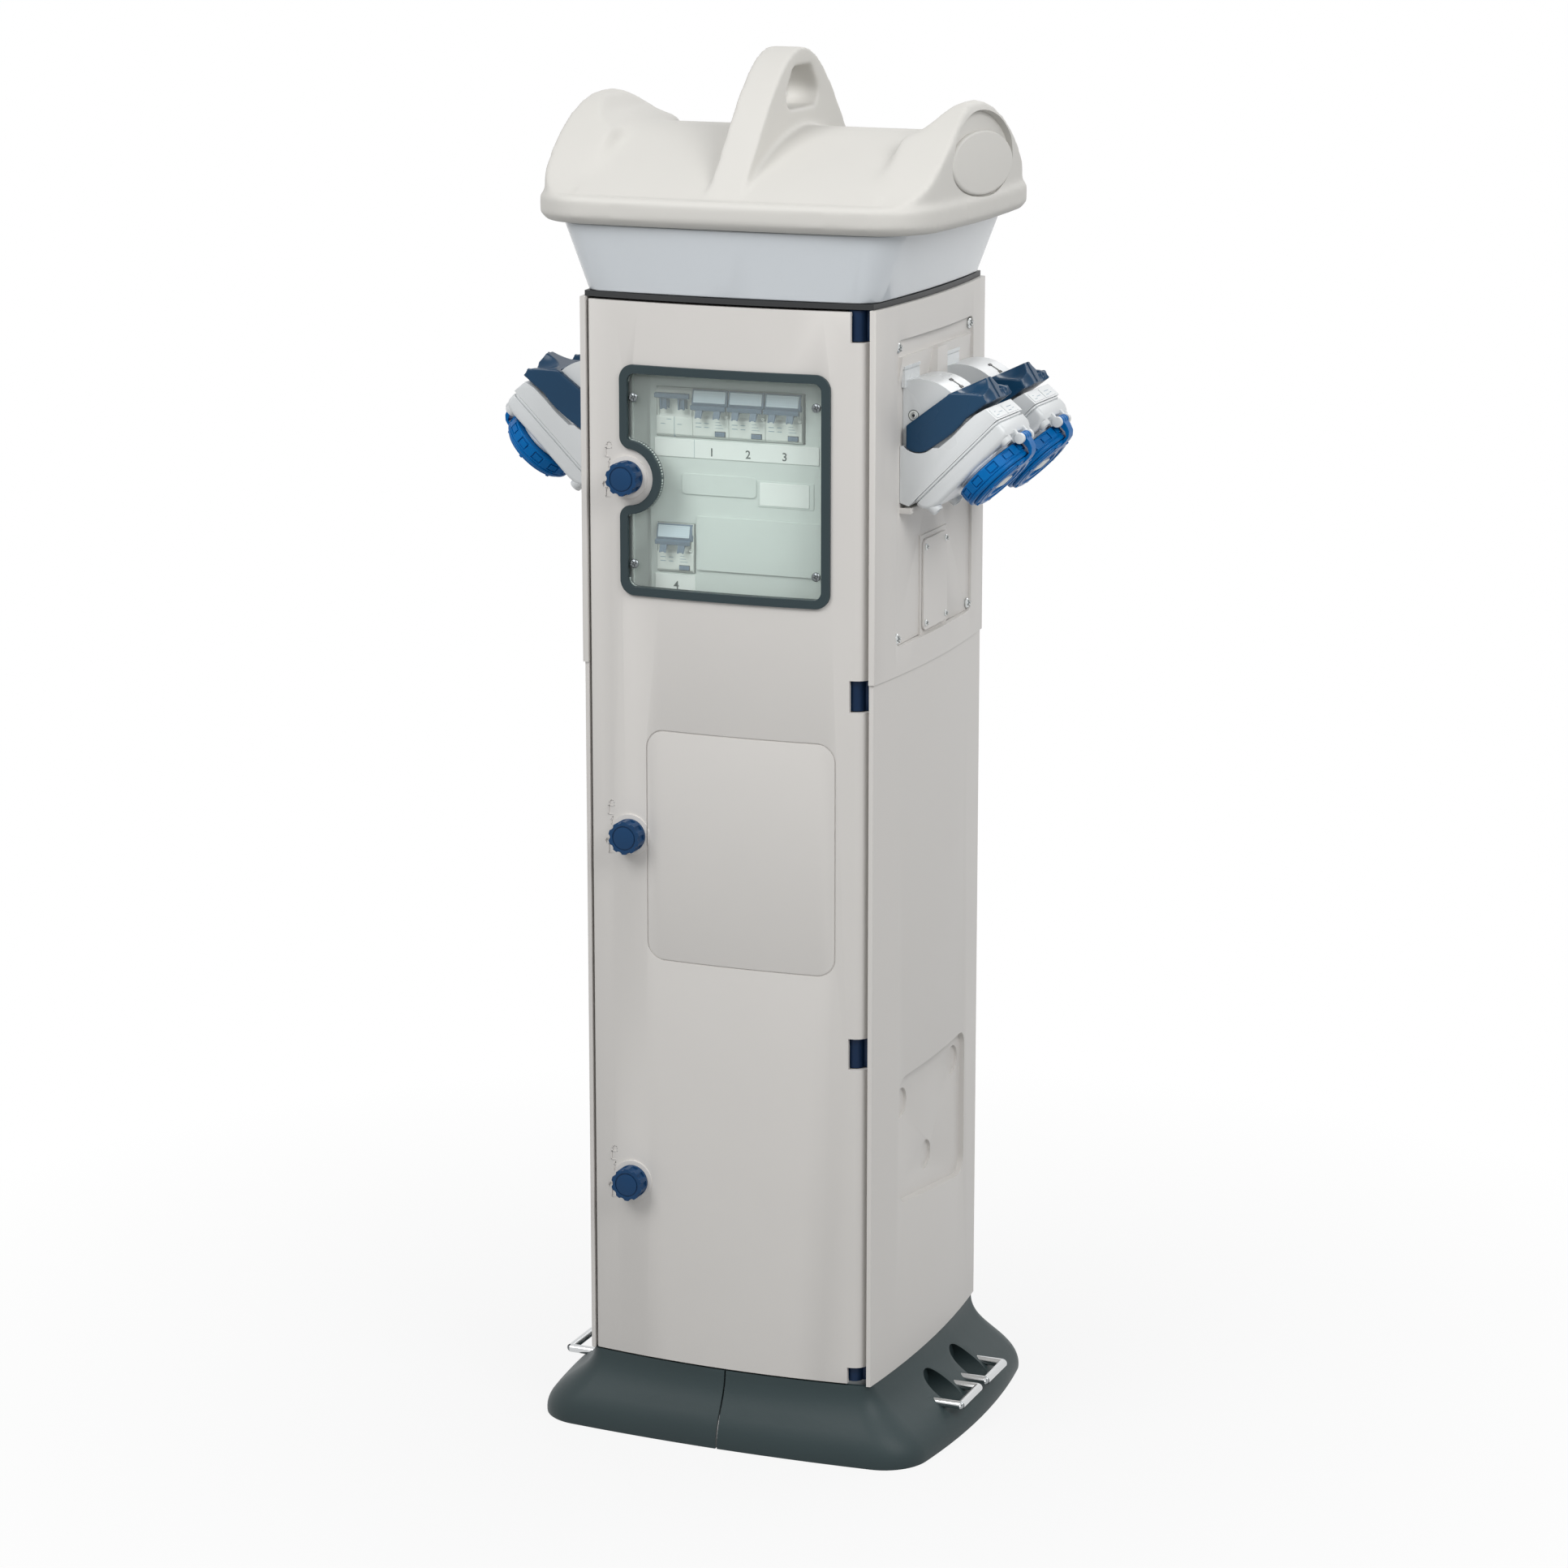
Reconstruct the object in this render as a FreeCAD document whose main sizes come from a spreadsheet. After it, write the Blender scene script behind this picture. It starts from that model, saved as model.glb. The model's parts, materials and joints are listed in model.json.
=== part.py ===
import FreeCAD, Part
import Sketcher
import math
import os
import re

Vector = FreeCAD.Vector
Rotation = FreeCAD.Rotation
Placement = FreeCAD.Placement

# Driving dimensions in millimetres and degrees.
# The origin is the centre of the footprint on the ground, +X is right, -Y is the front, +Z is up.
SIZES = [
    # Column
    ("column_width", 300.0),
    ("column_depth", 304.0),
    ("side_bow", 8.0),
    ("face_bow", 11.0),
    ("wall", 4.0),
    ("column_low", 70.0),
    ("column_high", 1073.5),
    ("edge_round", 3.0),
    ("seat_gap", 0.3),
    # Foot
    ("foot_width", 406.0),
    ("foot_depth", 348.0),
    ("foot_side_bow", 16.0),
    ("foot_face_bow", 10.0),
    ("foot_corner", 45.0),
    ("foot_lip", 12.0),
    ("skirt_wall", 4.0),
    ("skirt_seam", 1.6),
    ("anchor_pitch_wide", 190.0),
    ("anchor_pitch_deep", 170.0),
    ("anchor_bore", 14.0),
    ("flange_thick", 6.0),
    ("flange_rim", 22.0),
    ("riser_wall", 5.0),
    ("hook_bar", 8.0),
    ("hook_out", 206.0),
    ("well_radius", 17.0),
    ("hook_span", 50.0),
    ("hook_level", 32.0),
    ("hook_pitch", 70.0),
    # Door
    ("door_height", 1000.0),
    ("door_lift", 1.5),
    ("door_gap", 2.0),
    ("door_skin", 3.5),
    ("door_back", 127.0),
    ("hinge_round", 14.0),
    ("hinge_back", 130.0),
    ("lip_deep", 8.0),
    ("lip_wide", 6.0),
    ("stop_left", 118.0),
    ("stop_right", 98.0),
    ("stop_front", 113.5),
    ("stop_thick", 4.0),
    ("seal_thick", 5.2),
    ("knuckle_radius", 9.0),
    ("pin_radius", 3.0),
    ("pin_clearance", 0.1),
    ("bracket_tall", 28.0),
    ("boss_tall", 16.0),
    ("notch_gap", 0.7),
    ("hinge_pitch", 334.5),
    ("hinge_top", 1059.0),
    # Knobs and latches
    ("knob_from_middle", 94.5),
    ("knob_pitch", 334.0),
    ("knob_top", 912.0),
    ("knob_radius", 15.5),
    ("knob_long", 14.0),
    ("knob_collar", 19.5),
    ("collar_proud", 2.5),
    ("shaft_radius", 4.0),
    ("cam_long", 32.0),
    ("cam_wide", 14.0),
    ("cam_thick", 4.0),
    # Window
    ("window_width", 205.0),
    ("window_low", 803.5),
    ("window_high", 1015.0),
    ("window_corner", 14.0),
    ("gasket_band", 8.0),
    ("gasket_proud", 2.4),
    ("gasket_deep", 6.0),
    ("pane_thick", 3.0),
    ("notch_radius", 26.0),
    ("notch_round", 11.0),
    ("label_width", 186.0),
    ("label_middle", 15.0),
    ("label_low", 461.5),
    ("label_high", 680.0),
    ("label_groove", 1.4),
    # Side sockets
    ("frame_low", 736.0),
    ("frame_proud", 1.5),
    ("opening_wide", 200.0),
    ("opening_low", 763.0),
    ("opening_high", 1042.0),
    ("ledge", 14.0),
    ("panel_face", 145.0),
    ("panel_thick", 3.0),
    ("socket_pitch", 104.0),
    ("socket_width", 68.0),
    ("pivot_out", 162.0),
    ("pivot_high", 960.0),
    ("drum_radius", 46.0),
    ("lever_arm", 6.5),
    ("lever_gap", 0.5),
    ("pivot_radius", 4.0),
    ("lever_reach", 19.5),
    ("lever_hub", 9.0),
    ("rib_proud", 9.0),
    ("cover_angle", 45.0),
    ("cover_long", 111.0),
    ("cover_thick", 18.0),
    ("collar_radius", 30.0),
    ("collar_long", 3.0),
    ("plug_bore", 23.0),
    ("ring_radius", 36.5),
    ("ring_long", 15.0),
    ("ring_along", 71.5),
    ("lid_thick", 3.8),
    ("lid_pin", 2.0),
    # Modular devices
    ("device_face", 122.0),
    ("module", 17.8),
    ("device_high", 45.0),
    ("row_top", 970.0),
    ("row_pitch", 125.0),
    ("device_left", -76.0),
    ("board_left", 84.0),
    ("board_right", 96.0),
    ("board_low", 785.0),
    ("board_high", 1035.0),
    ("board_thick", 3.0),
    ("rail_back", 54.5),
    # Head
    ("head_gap", 0.3),
    ("frame_thick", 5.0),
    ("glass_rise", 66.5),
    ("glass_wide", 340.0),
    ("glass_deep", 304.0),
    ("glass_wall", 3.0),
    ("lid_wide", 396.0),
    ("lid_deep", 336.0),
    ("lid_corner", 60.0),
    ("rim_tall", 26.0),
    ("vault_rise", 55.0),
    ("ear_rise", 83.0),
    ("handle_rise", 126.0),
    ("handle_thick", 34.0),
    ("eye_tall", 37.0),
    ("eye_wide", 104.0),
    ("eye_crown", 17.0),
    ("eye_round", 12.0),
    ("lid_wall", 4.0),
]

doc = FreeCAD.newDocument("pedestal")
sheet = doc.addObject("Spreadsheet::Sheet", "size")
for row, (alias, number) in enumerate(SIZES, start=1):
    sheet.set("A%d" % row, alias)
    sheet.set("B%d" % row, str(number))
    sheet.setAlias("B%d" % row, alias)
doc.recompute()
NAMES = {alias for alias, number in SIZES}
NODES = []


def term(text):
    """An expression in the sheet's words, as the document reads it."""
    def named(word):
        return "size." + word.group(0) if word.group(0) in NAMES else word.group(0)
    return re.sub(r"[a-z][a-z_]*", named, str(text))


def val(text):
    """The number that an expression gives."""
    return float(sheet.evalExpression(term(text)))


def bind(obj, prop, text):
    obj.setExpression(prop, term(text))


def node(obj, label):
    """Names a sub-part, which is written to a file of its own."""
    obj.Label = label
    NODES.append(obj)
    return obj


def add(kind, name):
    return doc.addObject(kind, name)


def move(obj, x="0", y="0", z="0"):
    for letter, text in zip("xyz", (x, y, z)):
        bind(obj, "Placement.Base." + letter, text)
    return obj


def block(name, x, y, z):
    """A box between two limits along each axis."""
    obj = add("Part::Box", name)
    for prop, limits in zip(("Length", "Width", "Height"), (x, y, z)):
        bind(obj, prop, "(%s) - (%s)" % (limits[1], limits[0]))
    return move(obj, x[0], y[0], z[0])


TURNS = {"x": Rotation(Vector(0, 1, 0), 90), "y": Rotation(Vector(1, 0, 0), -90), "z": Rotation()}


def rod(name, radius, axis, low, high, first, second):
    """A cylinder along an axis; first and second are its other two coordinates, in order."""
    obj = add("Part::Cylinder", name)
    obj.Placement = Placement(Vector(), TURNS[axis])
    bind(obj, "Radius", radius)
    bind(obj, "Height", "(%s) - (%s)" % (high, low))
    places = {"x": (low, first, second), "y": (first, low, second), "z": (first, second, low)}
    return move(obj, *places[axis])


def fuse(name, *shapes):
    obj = add("Part::MultiFuse", name)
    obj.Shapes = list(shapes)
    obj.Refine = True
    return obj


def common(name, *shapes):
    obj = add("Part::MultiCommon", name)
    obj.Shapes = list(shapes)
    return obj


def cut(name, base, *tools):
    obj = add("Part::Cut", name)
    obj.Base = base
    obj.Tool = tools[0] if len(tools) == 1 else fuse(name + "_tools", *tools)
    obj.Refine = True
    return obj


def group(name, shapes):
    obj = add("Part::Compound", name)
    obj.Links = list(shapes)
    return obj


def mirrored(name, source, normal=Vector(1, 0, 0)):
    obj = add("Part::Mirroring", name)
    obj.Source = source
    obj.Normal = normal
    return obj


def rounded(name, source, radius, pick):
    """Rounds the edges of a solid that pick chooses."""
    doc.recompute()
    obj = add("Part::Fillet", name)
    obj.Base = source
    size = val(radius)
    obj.Edges = [(number, size, size) for number, edge in enumerate(source.Shape.Edges,
                                                                    start=1) if pick(edge)]
    return obj


def along(axis):
    """Picks straight edges along an axis."""
    way = {"x": Vector(1, 0, 0), "y": Vector(0, 1, 0), "z": Vector(0, 0, 1)}[axis]

    def pick(edge):
        if edge.Curve.TypeId != "Part::GeomLine":
            return False
        run = edge.Vertexes[-1].Point - edge.Vertexes[0].Point
        return run.Length > 0 and abs(run.normalize().dot(way)) > 0.999
    return pick


def body(name):
    return add("PartDesign::Body", name)


def sketch(owner, name, role, lift="0"):
    """An empty sketch on one of a body's own planes."""
    flat = owner.newObject("Sketcher::SketchObject", name)
    plane = [item for item in owner.Origin.OriginFeatures if item.Role == role][0]
    flat.AttachmentSupport = [(plane, "")]
    flat.MapMode = "FlatFace"
    bind(flat, "AttachmentOffset.Base.z", lift)
    return flat


def pin_point(flat, line, end, point):
    """Holds one end of a line at a place that the sheet gives."""
    for kind, text in zip(("DistanceX", "DistanceY"), point):
        held = flat.addConstraint(Sketcher.Constraint(kind, -1, 1, line, end, val(text)))
        flat.setExpression("Constraints[%d]" % held, term(text))


def outline(flat, points):
    """A closed outline of straight lines."""
    first = flat.GeometryCount
    spots = [Vector(val(a), val(b), 0) for a, b in points]
    count = len(spots)
    for index in range(count):
        flat.addGeometry(Part.LineSegment(spots[index], spots[(index + 1) % count]))
    for index in range(count):
        follower = first + (index + 1) % count
        flat.addConstraint(Sketcher.Constraint("Coincident", first + index, 2, follower, 1))
        pin_point(flat, first + index, 1, points[index])


def circle(flat, radius, x="0", y="0"):
    index = flat.addGeometry(Part.Circle(Vector(val(x), val(y), 0), Vector(0, 0, 1), val(radius)))
    held = flat.addConstraint(Sketcher.Constraint("Radius", index, val(radius)))
    flat.setExpression("Constraints[%d]" % held, term(radius))
    pin_point(flat, index, 3, (x, y))


def bowed(flat, half_wide, half_deep, wide_bow, deep_bow):
    """A rectangle whose four sides bow outwards, each an arc between two corners."""
    corner_x = "(%s) - (%s)" % (half_wide, wide_bow)
    corner_y = "(%s) - (%s)" % (half_deep, deep_bow)
    corners = [(corner_x, "-(%s)" % corner_y), (corner_x, corner_y),
               ("-(%s)" % corner_x, corner_y), ("-(%s)" % corner_x, "-(%s)" % corner_y)]
    mids = [(half_wide, "0"), ("0", half_deep), ("-(%s)" % half_wide, "0"), ("0", "-(%s)" % half_deep)]
    chords = [(corner_y, wide_bow), (corner_x, deep_bow)] * 2
    spots = [Vector(val(a), val(b), 0) for a, b in corners]
    for index in range(4):
        middle = Vector(val(mids[index][0]), val(mids[index][1]), 0)
        flat.addGeometry(Part.Arc(spots[index], middle, spots[(index + 1) % 4]))
    for index in range(4):
        flat.addConstraint(Sketcher.Constraint("Coincident", index, 2, (index + 1) % 4, 1))
        pin_point(flat, index, 1, corners[index])
        half, bow = chords[index]
        radius = "((%s) * (%s) + (%s) * (%s)) / (2 * (%s))" % (half, half, bow, bow, bow)
        held = flat.addConstraint(Sketcher.Constraint("Radius", index, val(radius)))
        flat.setExpression("Constraints[%d]" % held, term(radius))


def pad(owner, flat, length):
    feature = owner.newObject("PartDesign::Pad", owner.Name + "_pad")
    feature.Profile = flat
    bind(feature, "Length", length)
    owner.Tip = feature
    return feature


def soften(owner, radius, pick):
    """Rounds chosen edges of a body's last feature."""
    doc.recompute()
    base = owner.Tip
    edges = ["Edge%d" % number for number, edge in enumerate(base.Shape.Edges, start=1) if pick(edge)]
    feature = owner.newObject("PartDesign::Fillet", owner.Name + "_round")
    feature.Base = (base, edges)
    bind(feature, "Radius", radius)
    owner.Tip = feature
    return feature


def prism(name, role, points, low, high):
    """A straight-sided solid between two levels along a plane's normal."""
    owner = body(name)
    flat = sketch(owner, name + "_outline", role, low)
    outline(flat, points)
    pad(owner, flat, "(%s) - (%s)" % (high, low))
    return owner


def bowed_block(name, grow, low, high):
    """A solid on the column's plan, grown or shrunk all round."""
    owner = body(name)
    flat = sketch(owner, name + "_plan", "XY_Plane", low)
    bowed(flat, "column_width / 2 + (%s)" % grow, "column_depth / 2 + (%s)" % grow, "side_bow", "face_bow")
    pad(owner, flat, "(%s) - (%s)" % (high, low))
    return owner


def side_at(y, grow="0"):
    """How far out the side's bowed face lies at a depth."""
    return "(column_width / 2 + (%s) - side_bow * ((%s) / (column_depth / 2 + (%s) - face_bow))^2)" % (
        grow, y, grow)


def face_at(x, grow="0"):
    """How far forward the front's bowed face lies at a place across."""
    return "(column_depth / 2 + (%s) - face_bow * ((%s) / (column_width / 2 + (%s) - side_bow))^2)" % (
        grow, x, grow)


def plan_wire(half_wide, half_deep, wide_bow, deep_bow, corner, z):
    """A bowed rectangle with rounded corners, at a height."""
    x = half_wide - wide_bow
    y = half_deep - deep_bow
    corners = [Vector(x, -y, z), Vector(x, y, z), Vector(-x, y, z), Vector(-x, -y, z)]
    mids = [Vector(half_wide, 0, z), Vector(0, half_deep, z), Vector(-half_wide, 0, z),
            Vector(0, -half_deep, z)]
    sides = [Part.Arc(corners[i], mids[i], corners[(i + 1) % 4]).toShape() for i in range(4)]
    return Part.Wire(sides).makeOffset2D(-corner).makeOffset2D(corner, 0)


def loft(wires, ruled=True):
    return Part.makeLoft(wires, True, ruled)


def freeform(name, shape):
    """Holds a shape made from the sheet's values, with its place after its shape."""
    obj = add("Part::Feature", name)
    obj.Shape = shape
    obj.Placement = Placement()
    return obj


BIG = "400"
INSIDE_X = "(column_width / 2 - side_bow - wall)"
DOOR_X = "(%s - door_gap)" % INSIDE_X
DOOR_LOW = "(column_low + door_lift)"
DOOR_HIGH = "(column_low + door_lift + door_height)"
HINGE_X = "(%s - hinge_round)" % DOOR_X
HINGE_Y = "(-hinge_back)"


# Column walls
def column_walls():
    outer = bowed_block("column_outside", "0", "column_low", "frame_low")
    inner = bowed_block("column_inside", "-wall", "column_low - 1", "frame_low + 1")
    ring = cut("column_ring", outer, inner)
    keep = block("side_keep", (INSIDE_X, BIG), ("-" + BIG, BIG), ("column_low", "frame_low"))
    wall = common("side_wall", ring, keep)
    swell = common("side_swell", bowed_block("swell_plan", "-0.01", "column_low", "frame_low"),
                   block("swell_box", ("panel_face - 14", BIG), ("-104", "104"), ("200", "372")))
    dish = body("side_dish")
    flat = sketch(dish, "dish_outline", "YZ_Plane", "panel_face - 4")
    outline(flat, [("-84", "232"), ("96", "208"), ("96", "352"), ("-84", "352"), ])
    pad(dish, flat, "40")
    soften(dish, "16", along("x"))
    dents = [rod("dish_dent_%d" % i, "14", "x", "panel_face - 7", "200", y, z)
             for i, (y, z) in enumerate((("-62", "323"), ("76", "326"), ("4", "253")), start=1)]
    right = cut("side_panel_right", fuse("side_thick", wall, swell), fuse("side_recess", dish, *dents))
    node(group("side_panels", [right, mirrored("side_panel_left", right)]), "side_panels")
    back_out = bowed_block("back_outside", "0", "column_low", "column_high")
    back_in = bowed_block("back_inside", "-wall", "column_low - 1", "column_high + 1")
    keep = block("back_keep", ("-(%s) + seat_gap" % INSIDE_X, "%s - seat_gap" % INSIDE_X), ("0", BIG),
                 ("column_low", "column_high"))
    node(common("back_panel", cut("back_ring", back_out, back_in), keep), "back_panel")


# Plates and frame inside the column
def inner_structure():
    floor = common("floor_plan", bowed_block("floor_solid", "-wall - seat_gap", "column_low + 2",
                                             "column_low + 6"),
                   block("floor_keep", ("-" + BIG, BIG), ("-stop_front + stop_thick + seat_gap", BIG),
                         ("column_low", "column_low + 10")))
    floor_bores = [rod("floor_bore_%d" % i, "20.5", "z", "column_low", "column_low + 10", x, "40")
                   for i, x in enumerate(("-55", "55"), start=1)]
    node(cut("bottom_plate", floor, *floor_bores), "bottom_plate")

    glands = []
    for i, x in enumerate(("-55", "55"), start=1):
        head = rod("gland_head_%d" % i, "26", "z", "column_low + 6 + seat_gap", "column_low + 24", x, "40")
        stem = rod("gland_stem_%d" % i, "20", "z", "column_low - 12", "column_low + 24", x, "40")
        bore = rod("gland_bore_%d" % i, "13", "z", "column_low - 20", "column_low + 40", x, "40")
        glands.append(cut("cable_gland_%d" % i, fuse("gland_solid_%d" % i, head, stem), bore))
    node(group("cable_glands", glands), "cable_glands")

    half = "%s - seat_gap" % side_at("stop_front", "-wall")
    low, high = "column_low + 6 + seat_gap", "column_high - 2"
    stop = block("stop_solid", ("-(%s)" % half, half), ("-stop_front", "-stop_front + stop_thick"),
                 (low, high))
    hole = block("stop_hole", ("-stop_left", "stop_right"), ("-" + BIG, BIG),
                 ("column_low + 30", "column_high - 28"))
    node(cut("stop_frame", stop, hole), "stop_frame")

    posts = [("-board_left + seat_gap", "-board_left + 4.3"), ("board_right - 14", "board_right - 4")]
    front = "-device_face + board_thick + seat_gap"
    behind = "-stop_front + stop_thick + seat_gap"
    solids = []
    for i, limits in enumerate(posts, start=1):
        post = block("upright_post_%d" % i, limits, (behind, "-rail_back + 10"),
                     ("column_low + 6 + seat_gap", "column_high"))
        web = block("upright_web_%d" % i, limits, (front, behind + " + 1"), ("board_low", "board_high"))
        solids.append(fuse("upright_%d" % i, post, web))
    node(group("uprights", solids), "uprights")

    rails = []
    for i in range(2):
        middle = "row_top - %d * row_pitch" % i
        ends = ("-board_left + 4.6", "board_right - 14.3")
        web = block("rail_web_%d" % i, ends, ("-rail_back - 1", "-rail_back"),
                    (middle + " - 13", middle + " + 13"))
        lips = [block("rail_lip_%d_%d" % (i, j), ends, ("-rail_back - 7.5", "-rail_back - 6.5"), limits)
                for j, limits in enumerate(((middle + " - 17.5", middle + " - 12"),
                                            (middle + " + 12", middle + " + 17.5")))]
        legs = [block("rail_leg_%d_%d" % (i, j), ends, ("-rail_back - 7.5", "-rail_back"), limits)
                for j, limits in enumerate(((middle + " - 13", middle + " - 12"),
                                            (middle + " + 12", middle + " + 13")))]
        rails.append(fuse("rail_%d" % i, web, *(lips + legs)))
    node(group("din_rails", rails), "din_rails")

    board = block("board_solid", ("-board_left", "board_right"),
                  ("-device_face", "-device_face + board_thick"), ("board_low", "board_high"))
    slots = [block("board_slot_top", ("device_left - 1", "device_left + 8 * module + 2"), ("-" + BIG, BIG),
                   ("row_top - device_high / 2 - 0.5", "row_top + device_high / 2 + 0.5")),
             block("board_slot_low", ("device_left - 1", "device_left + 2 * module + 1"), ("-" + BIG, BIG),
                   ("row_top - row_pitch - device_high / 2 - 0.5",
                    "row_top - row_pitch + device_high / 2 + 0.5"))]
    node(cut("inner_panel", board, *slots), "inner_panel")


# Switch and breakers on their rails
def device(name, left, middle, has_button):
    """A two-module device: body, raised nose with toggle slot, and a bore for a test button."""
    right = "(%s) + 2 * module - 0.3" % left
    back = "-rail_back - 7.5 - seat_gap"
    nose = block(name + "_nose", (left, right), ("-device_face - 3", back),
                 ("%s - device_high / 2" % middle, "%s + device_high / 2" % middle))
    body_box = block(name + "_body", (left, right), ("-device_face + 14", back),
                     (middle + " - 42", middle + " + 42"))
    slot = block(name + "_slot", ("(%s) + 5" % left, "(%s) - 5" % right),
                 ("-device_face - 5", "-device_face + 9"),
                 (middle + " - 6", middle + " + 14"))
    tools = [slot]
    if has_button:
        tools.append(block(name + "_bore", ("(%s) + 23" % left, "(%s) + 31" % left),
                           ("-device_face - 5", "-device_face + 6"), (middle + " - 19", middle + " - 11")))
    return cut(name, fuse(name + "_solid", nose, body_box), *tools)


def toggle(label, left, middle):
    """A bar handle across two modules on a round barrel inside the slot."""
    low, high = "(%s) + 5.4" % left, "(%s) + 2 * module - 5.7" % left
    barrel = rod(label + "_barrel", "5.4", "x", low, high, "-device_face + 3", middle + " + 4")
    arm = block(label + "_arm", (low, high), ("-device_face - 11", "-device_face + 3"),
                (middle + " + 4.5", middle + " + 8.5"))
    node(fuse(label, barrel, arm), label)


def devices():
    places = [("device_left", "row_top"), ("device_left + 2 * module", "row_top"),
              ("device_left + 4 * module", "row_top"), ("device_left + 6 * module", "row_top"),
              ("device_left", "(row_top - row_pitch)")]
    node(device("main_switch", *places[0], False), "main_switch")
    toggle("main_toggle", *places[0])
    breakers = []
    for index, place in enumerate(places[1:], start=1):
        breakers.append(device("breaker_%d" % index, *place, True))
        toggle("breaker_toggle_%d" % index, *place)
        left, middle = place
        button = block("button_%d" % index, ("(%s) + 23.4" % left, "(%s) + 30.6" % left),
                       ("-device_face - 5", "-device_face + 2"), (middle + " - 18.6", middle + " - 11.4"))
        node(button, "test_button_%d" % index)
    node(group("breakers", breakers), "breakers")

    rail = block("terminal_rail", ("-70", "70"), (side_back() + " - 8", side_back() + " - seat_gap"),
                 ("250", "285"))
    blocks = [block("terminal_%d" % i, ("-62 + %d * 25" % i, "-62 + %d * 25 + 24" % i),
                    (side_back() + " - 52", side_back() + " - 8"), ("238", "297")) for i in range(5)]
    node(fuse("terminal_block", rail, *blocks), "terminal_block")


def side_back():
    """The back wall's inner face at the terminal rail's ends."""
    return face_at("70", "-wall")


# Foot
def foot():
    flange = block("flange_solid", ("-anchor_pitch_wide / 2 - flange_rim",
                                    "anchor_pitch_wide / 2 + flange_rim"),
                   ("-anchor_pitch_deep / 2 - flange_rim", "anchor_pitch_deep / 2 + flange_rim"),
                   ("0", "flange_thick"))
    riser_x, riser_y = "(anchor_pitch_wide / 2 - 14)", "(anchor_pitch_deep / 2 - 14)"
    riser = block("riser_solid", ("-" + riser_x, riser_x), ("-" + riser_y, riser_y),
                  ("0", "column_low + 2 - seat_gap"))
    throat = block("riser_throat", ("-%s + riser_wall" % riser_x, "%s - riser_wall" % riser_x),
                   ("-%s + riser_wall" % riser_y, "%s - riser_wall" % riser_y), ("-5", "column_low + 5"))
    bores = [rod("anchor_%d" % i, "anchor_bore / 2", "z", "-5", "flange_thick + 5",
                 "%d * anchor_pitch_wide / 2" % a, "%d * anchor_pitch_deep / 2" % b)
             for i, (a, b) in enumerate(((-1, -1), (1, -1), (1, 1), (-1, 1)), start=1)]
    node(cut("base_frame", fuse("base_solid", flange, riser), throat, *bores), "base_frame")

    def skirt_solid(inset):
        top = val("column_low - seat_gap")
        narrow = (val("column_width / 2 - 0.5") - inset, val("column_depth / 2 - 0.5") - inset,
                  val("side_bow"), val("face_bow"))
        wide = (val("foot_width / 2") - inset, val("foot_depth / 2") - inset,
                val("foot_side_bow"), val("foot_face_bow"))
        lip = val("foot_lip")
        corner = val("foot_corner")
        spans = [(0.0, 1.0, corner), (lip, 0.97, corner), (top * 0.55, 0.46, corner * 0.75),
                 (top, 0.0, 12.0)]
        wires = []
        for z, share, radius in spans:
            shape = [small + (large - small) * share for small, large in zip(narrow, wide)]
            wires.append(plan_wire(*shape, max(radius - inset, 4.0), z))
        return loft(wires, False)
    outer = freeform("skirt_outside", skirt_solid(0))
    inner = freeform("skirt_inside", skirt_solid(val("skirt_wall")))
    shell = cut("skirt_shell", outer, inner)
    cups = [rod("well_cup_%d" % i, "well_radius + skirt_wall", "x", "150", "230", y, "hook_level + 4")
            for i, y in enumerate(HOOK_Y, start=1)]
    wells = [rod("well_%d" % i, "well_radius", "x", "150 + skirt_wall", "230", y, "hook_level + 4")
             for i, y in enumerate(HOOK_Y, start=1)]
    bores = [rod("hook_bore_%d_%d" % (i, j), "hook_bar / 2 + 0.1", "x", "120", "260", y + half, "hook_level")
             for i, y in enumerate(HOOK_Y, start=1) for j, half in enumerate((" - hook_span / 2",
                                                                              " + hook_span / 2"))]
    cup_skin = common("cup_skin", fuse("cups", *cups), outer)
    keep = block("skirt_keep", ("skirt_seam / 2", BIG), ("-" + BIG, BIG), ("-5", "column_low + 5"))
    right = cut("skirt_right", common("skirt_half", fuse("skirt_solid", shell, cup_skin), keep),
                *(wells + bores))
    node(group("skirts", [right, mirrored("skirt_left", right)]), "skirts")


HOOK_Y = ("-hook_pitch / 2", "hook_pitch / 2")


# Door
def door_plan(inset, back, low, high):
    """The door's outline in plan: bowed front, straight sides and back."""
    name = "door_%s" % inset.replace(".", "_").replace(" ", "").replace("-", "m").replace("+", "p")
    slab = bowed_block(name + "_face", "-(%s)" % inset, low, high)
    keep = block(name + "_keep", ("-%s + (%s)" % (DOOR_X, inset), "%s - (%s)" % (DOOR_X, inset)),
                 ("-" + BIG, back),
                 (low, high))
    return common(name, slab, keep)


def hinge_levels():
    """Low and high end of each hinge bracket."""
    top = "hinge_top"
    levels = [("%s - %d * hinge_pitch - bracket_tall / 2" % (top, i),
               "%s - %d * hinge_pitch + bracket_tall / 2" % (top, i))
              for i in range(3)]
    levels.append(("%s + 1" % DOOR_LOW, "%s + 1 + bracket_tall / 2" % DOOR_LOW))
    return levels


def ring_block(name, x, y, z, band):
    """A rectangular ring of a given band width, on its face."""
    hole = block(name + "_hole", ("(%s) + %s" % (x[0], band), "(%s) - %s" % (x[1], band)), ("-" + BIG, BIG),
                 ("(%s) + %s" % (z[0], band), "(%s) - %s" % (z[1], band)))
    return cut(name, block(name + "_solid", x, y, z), hole)


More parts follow.
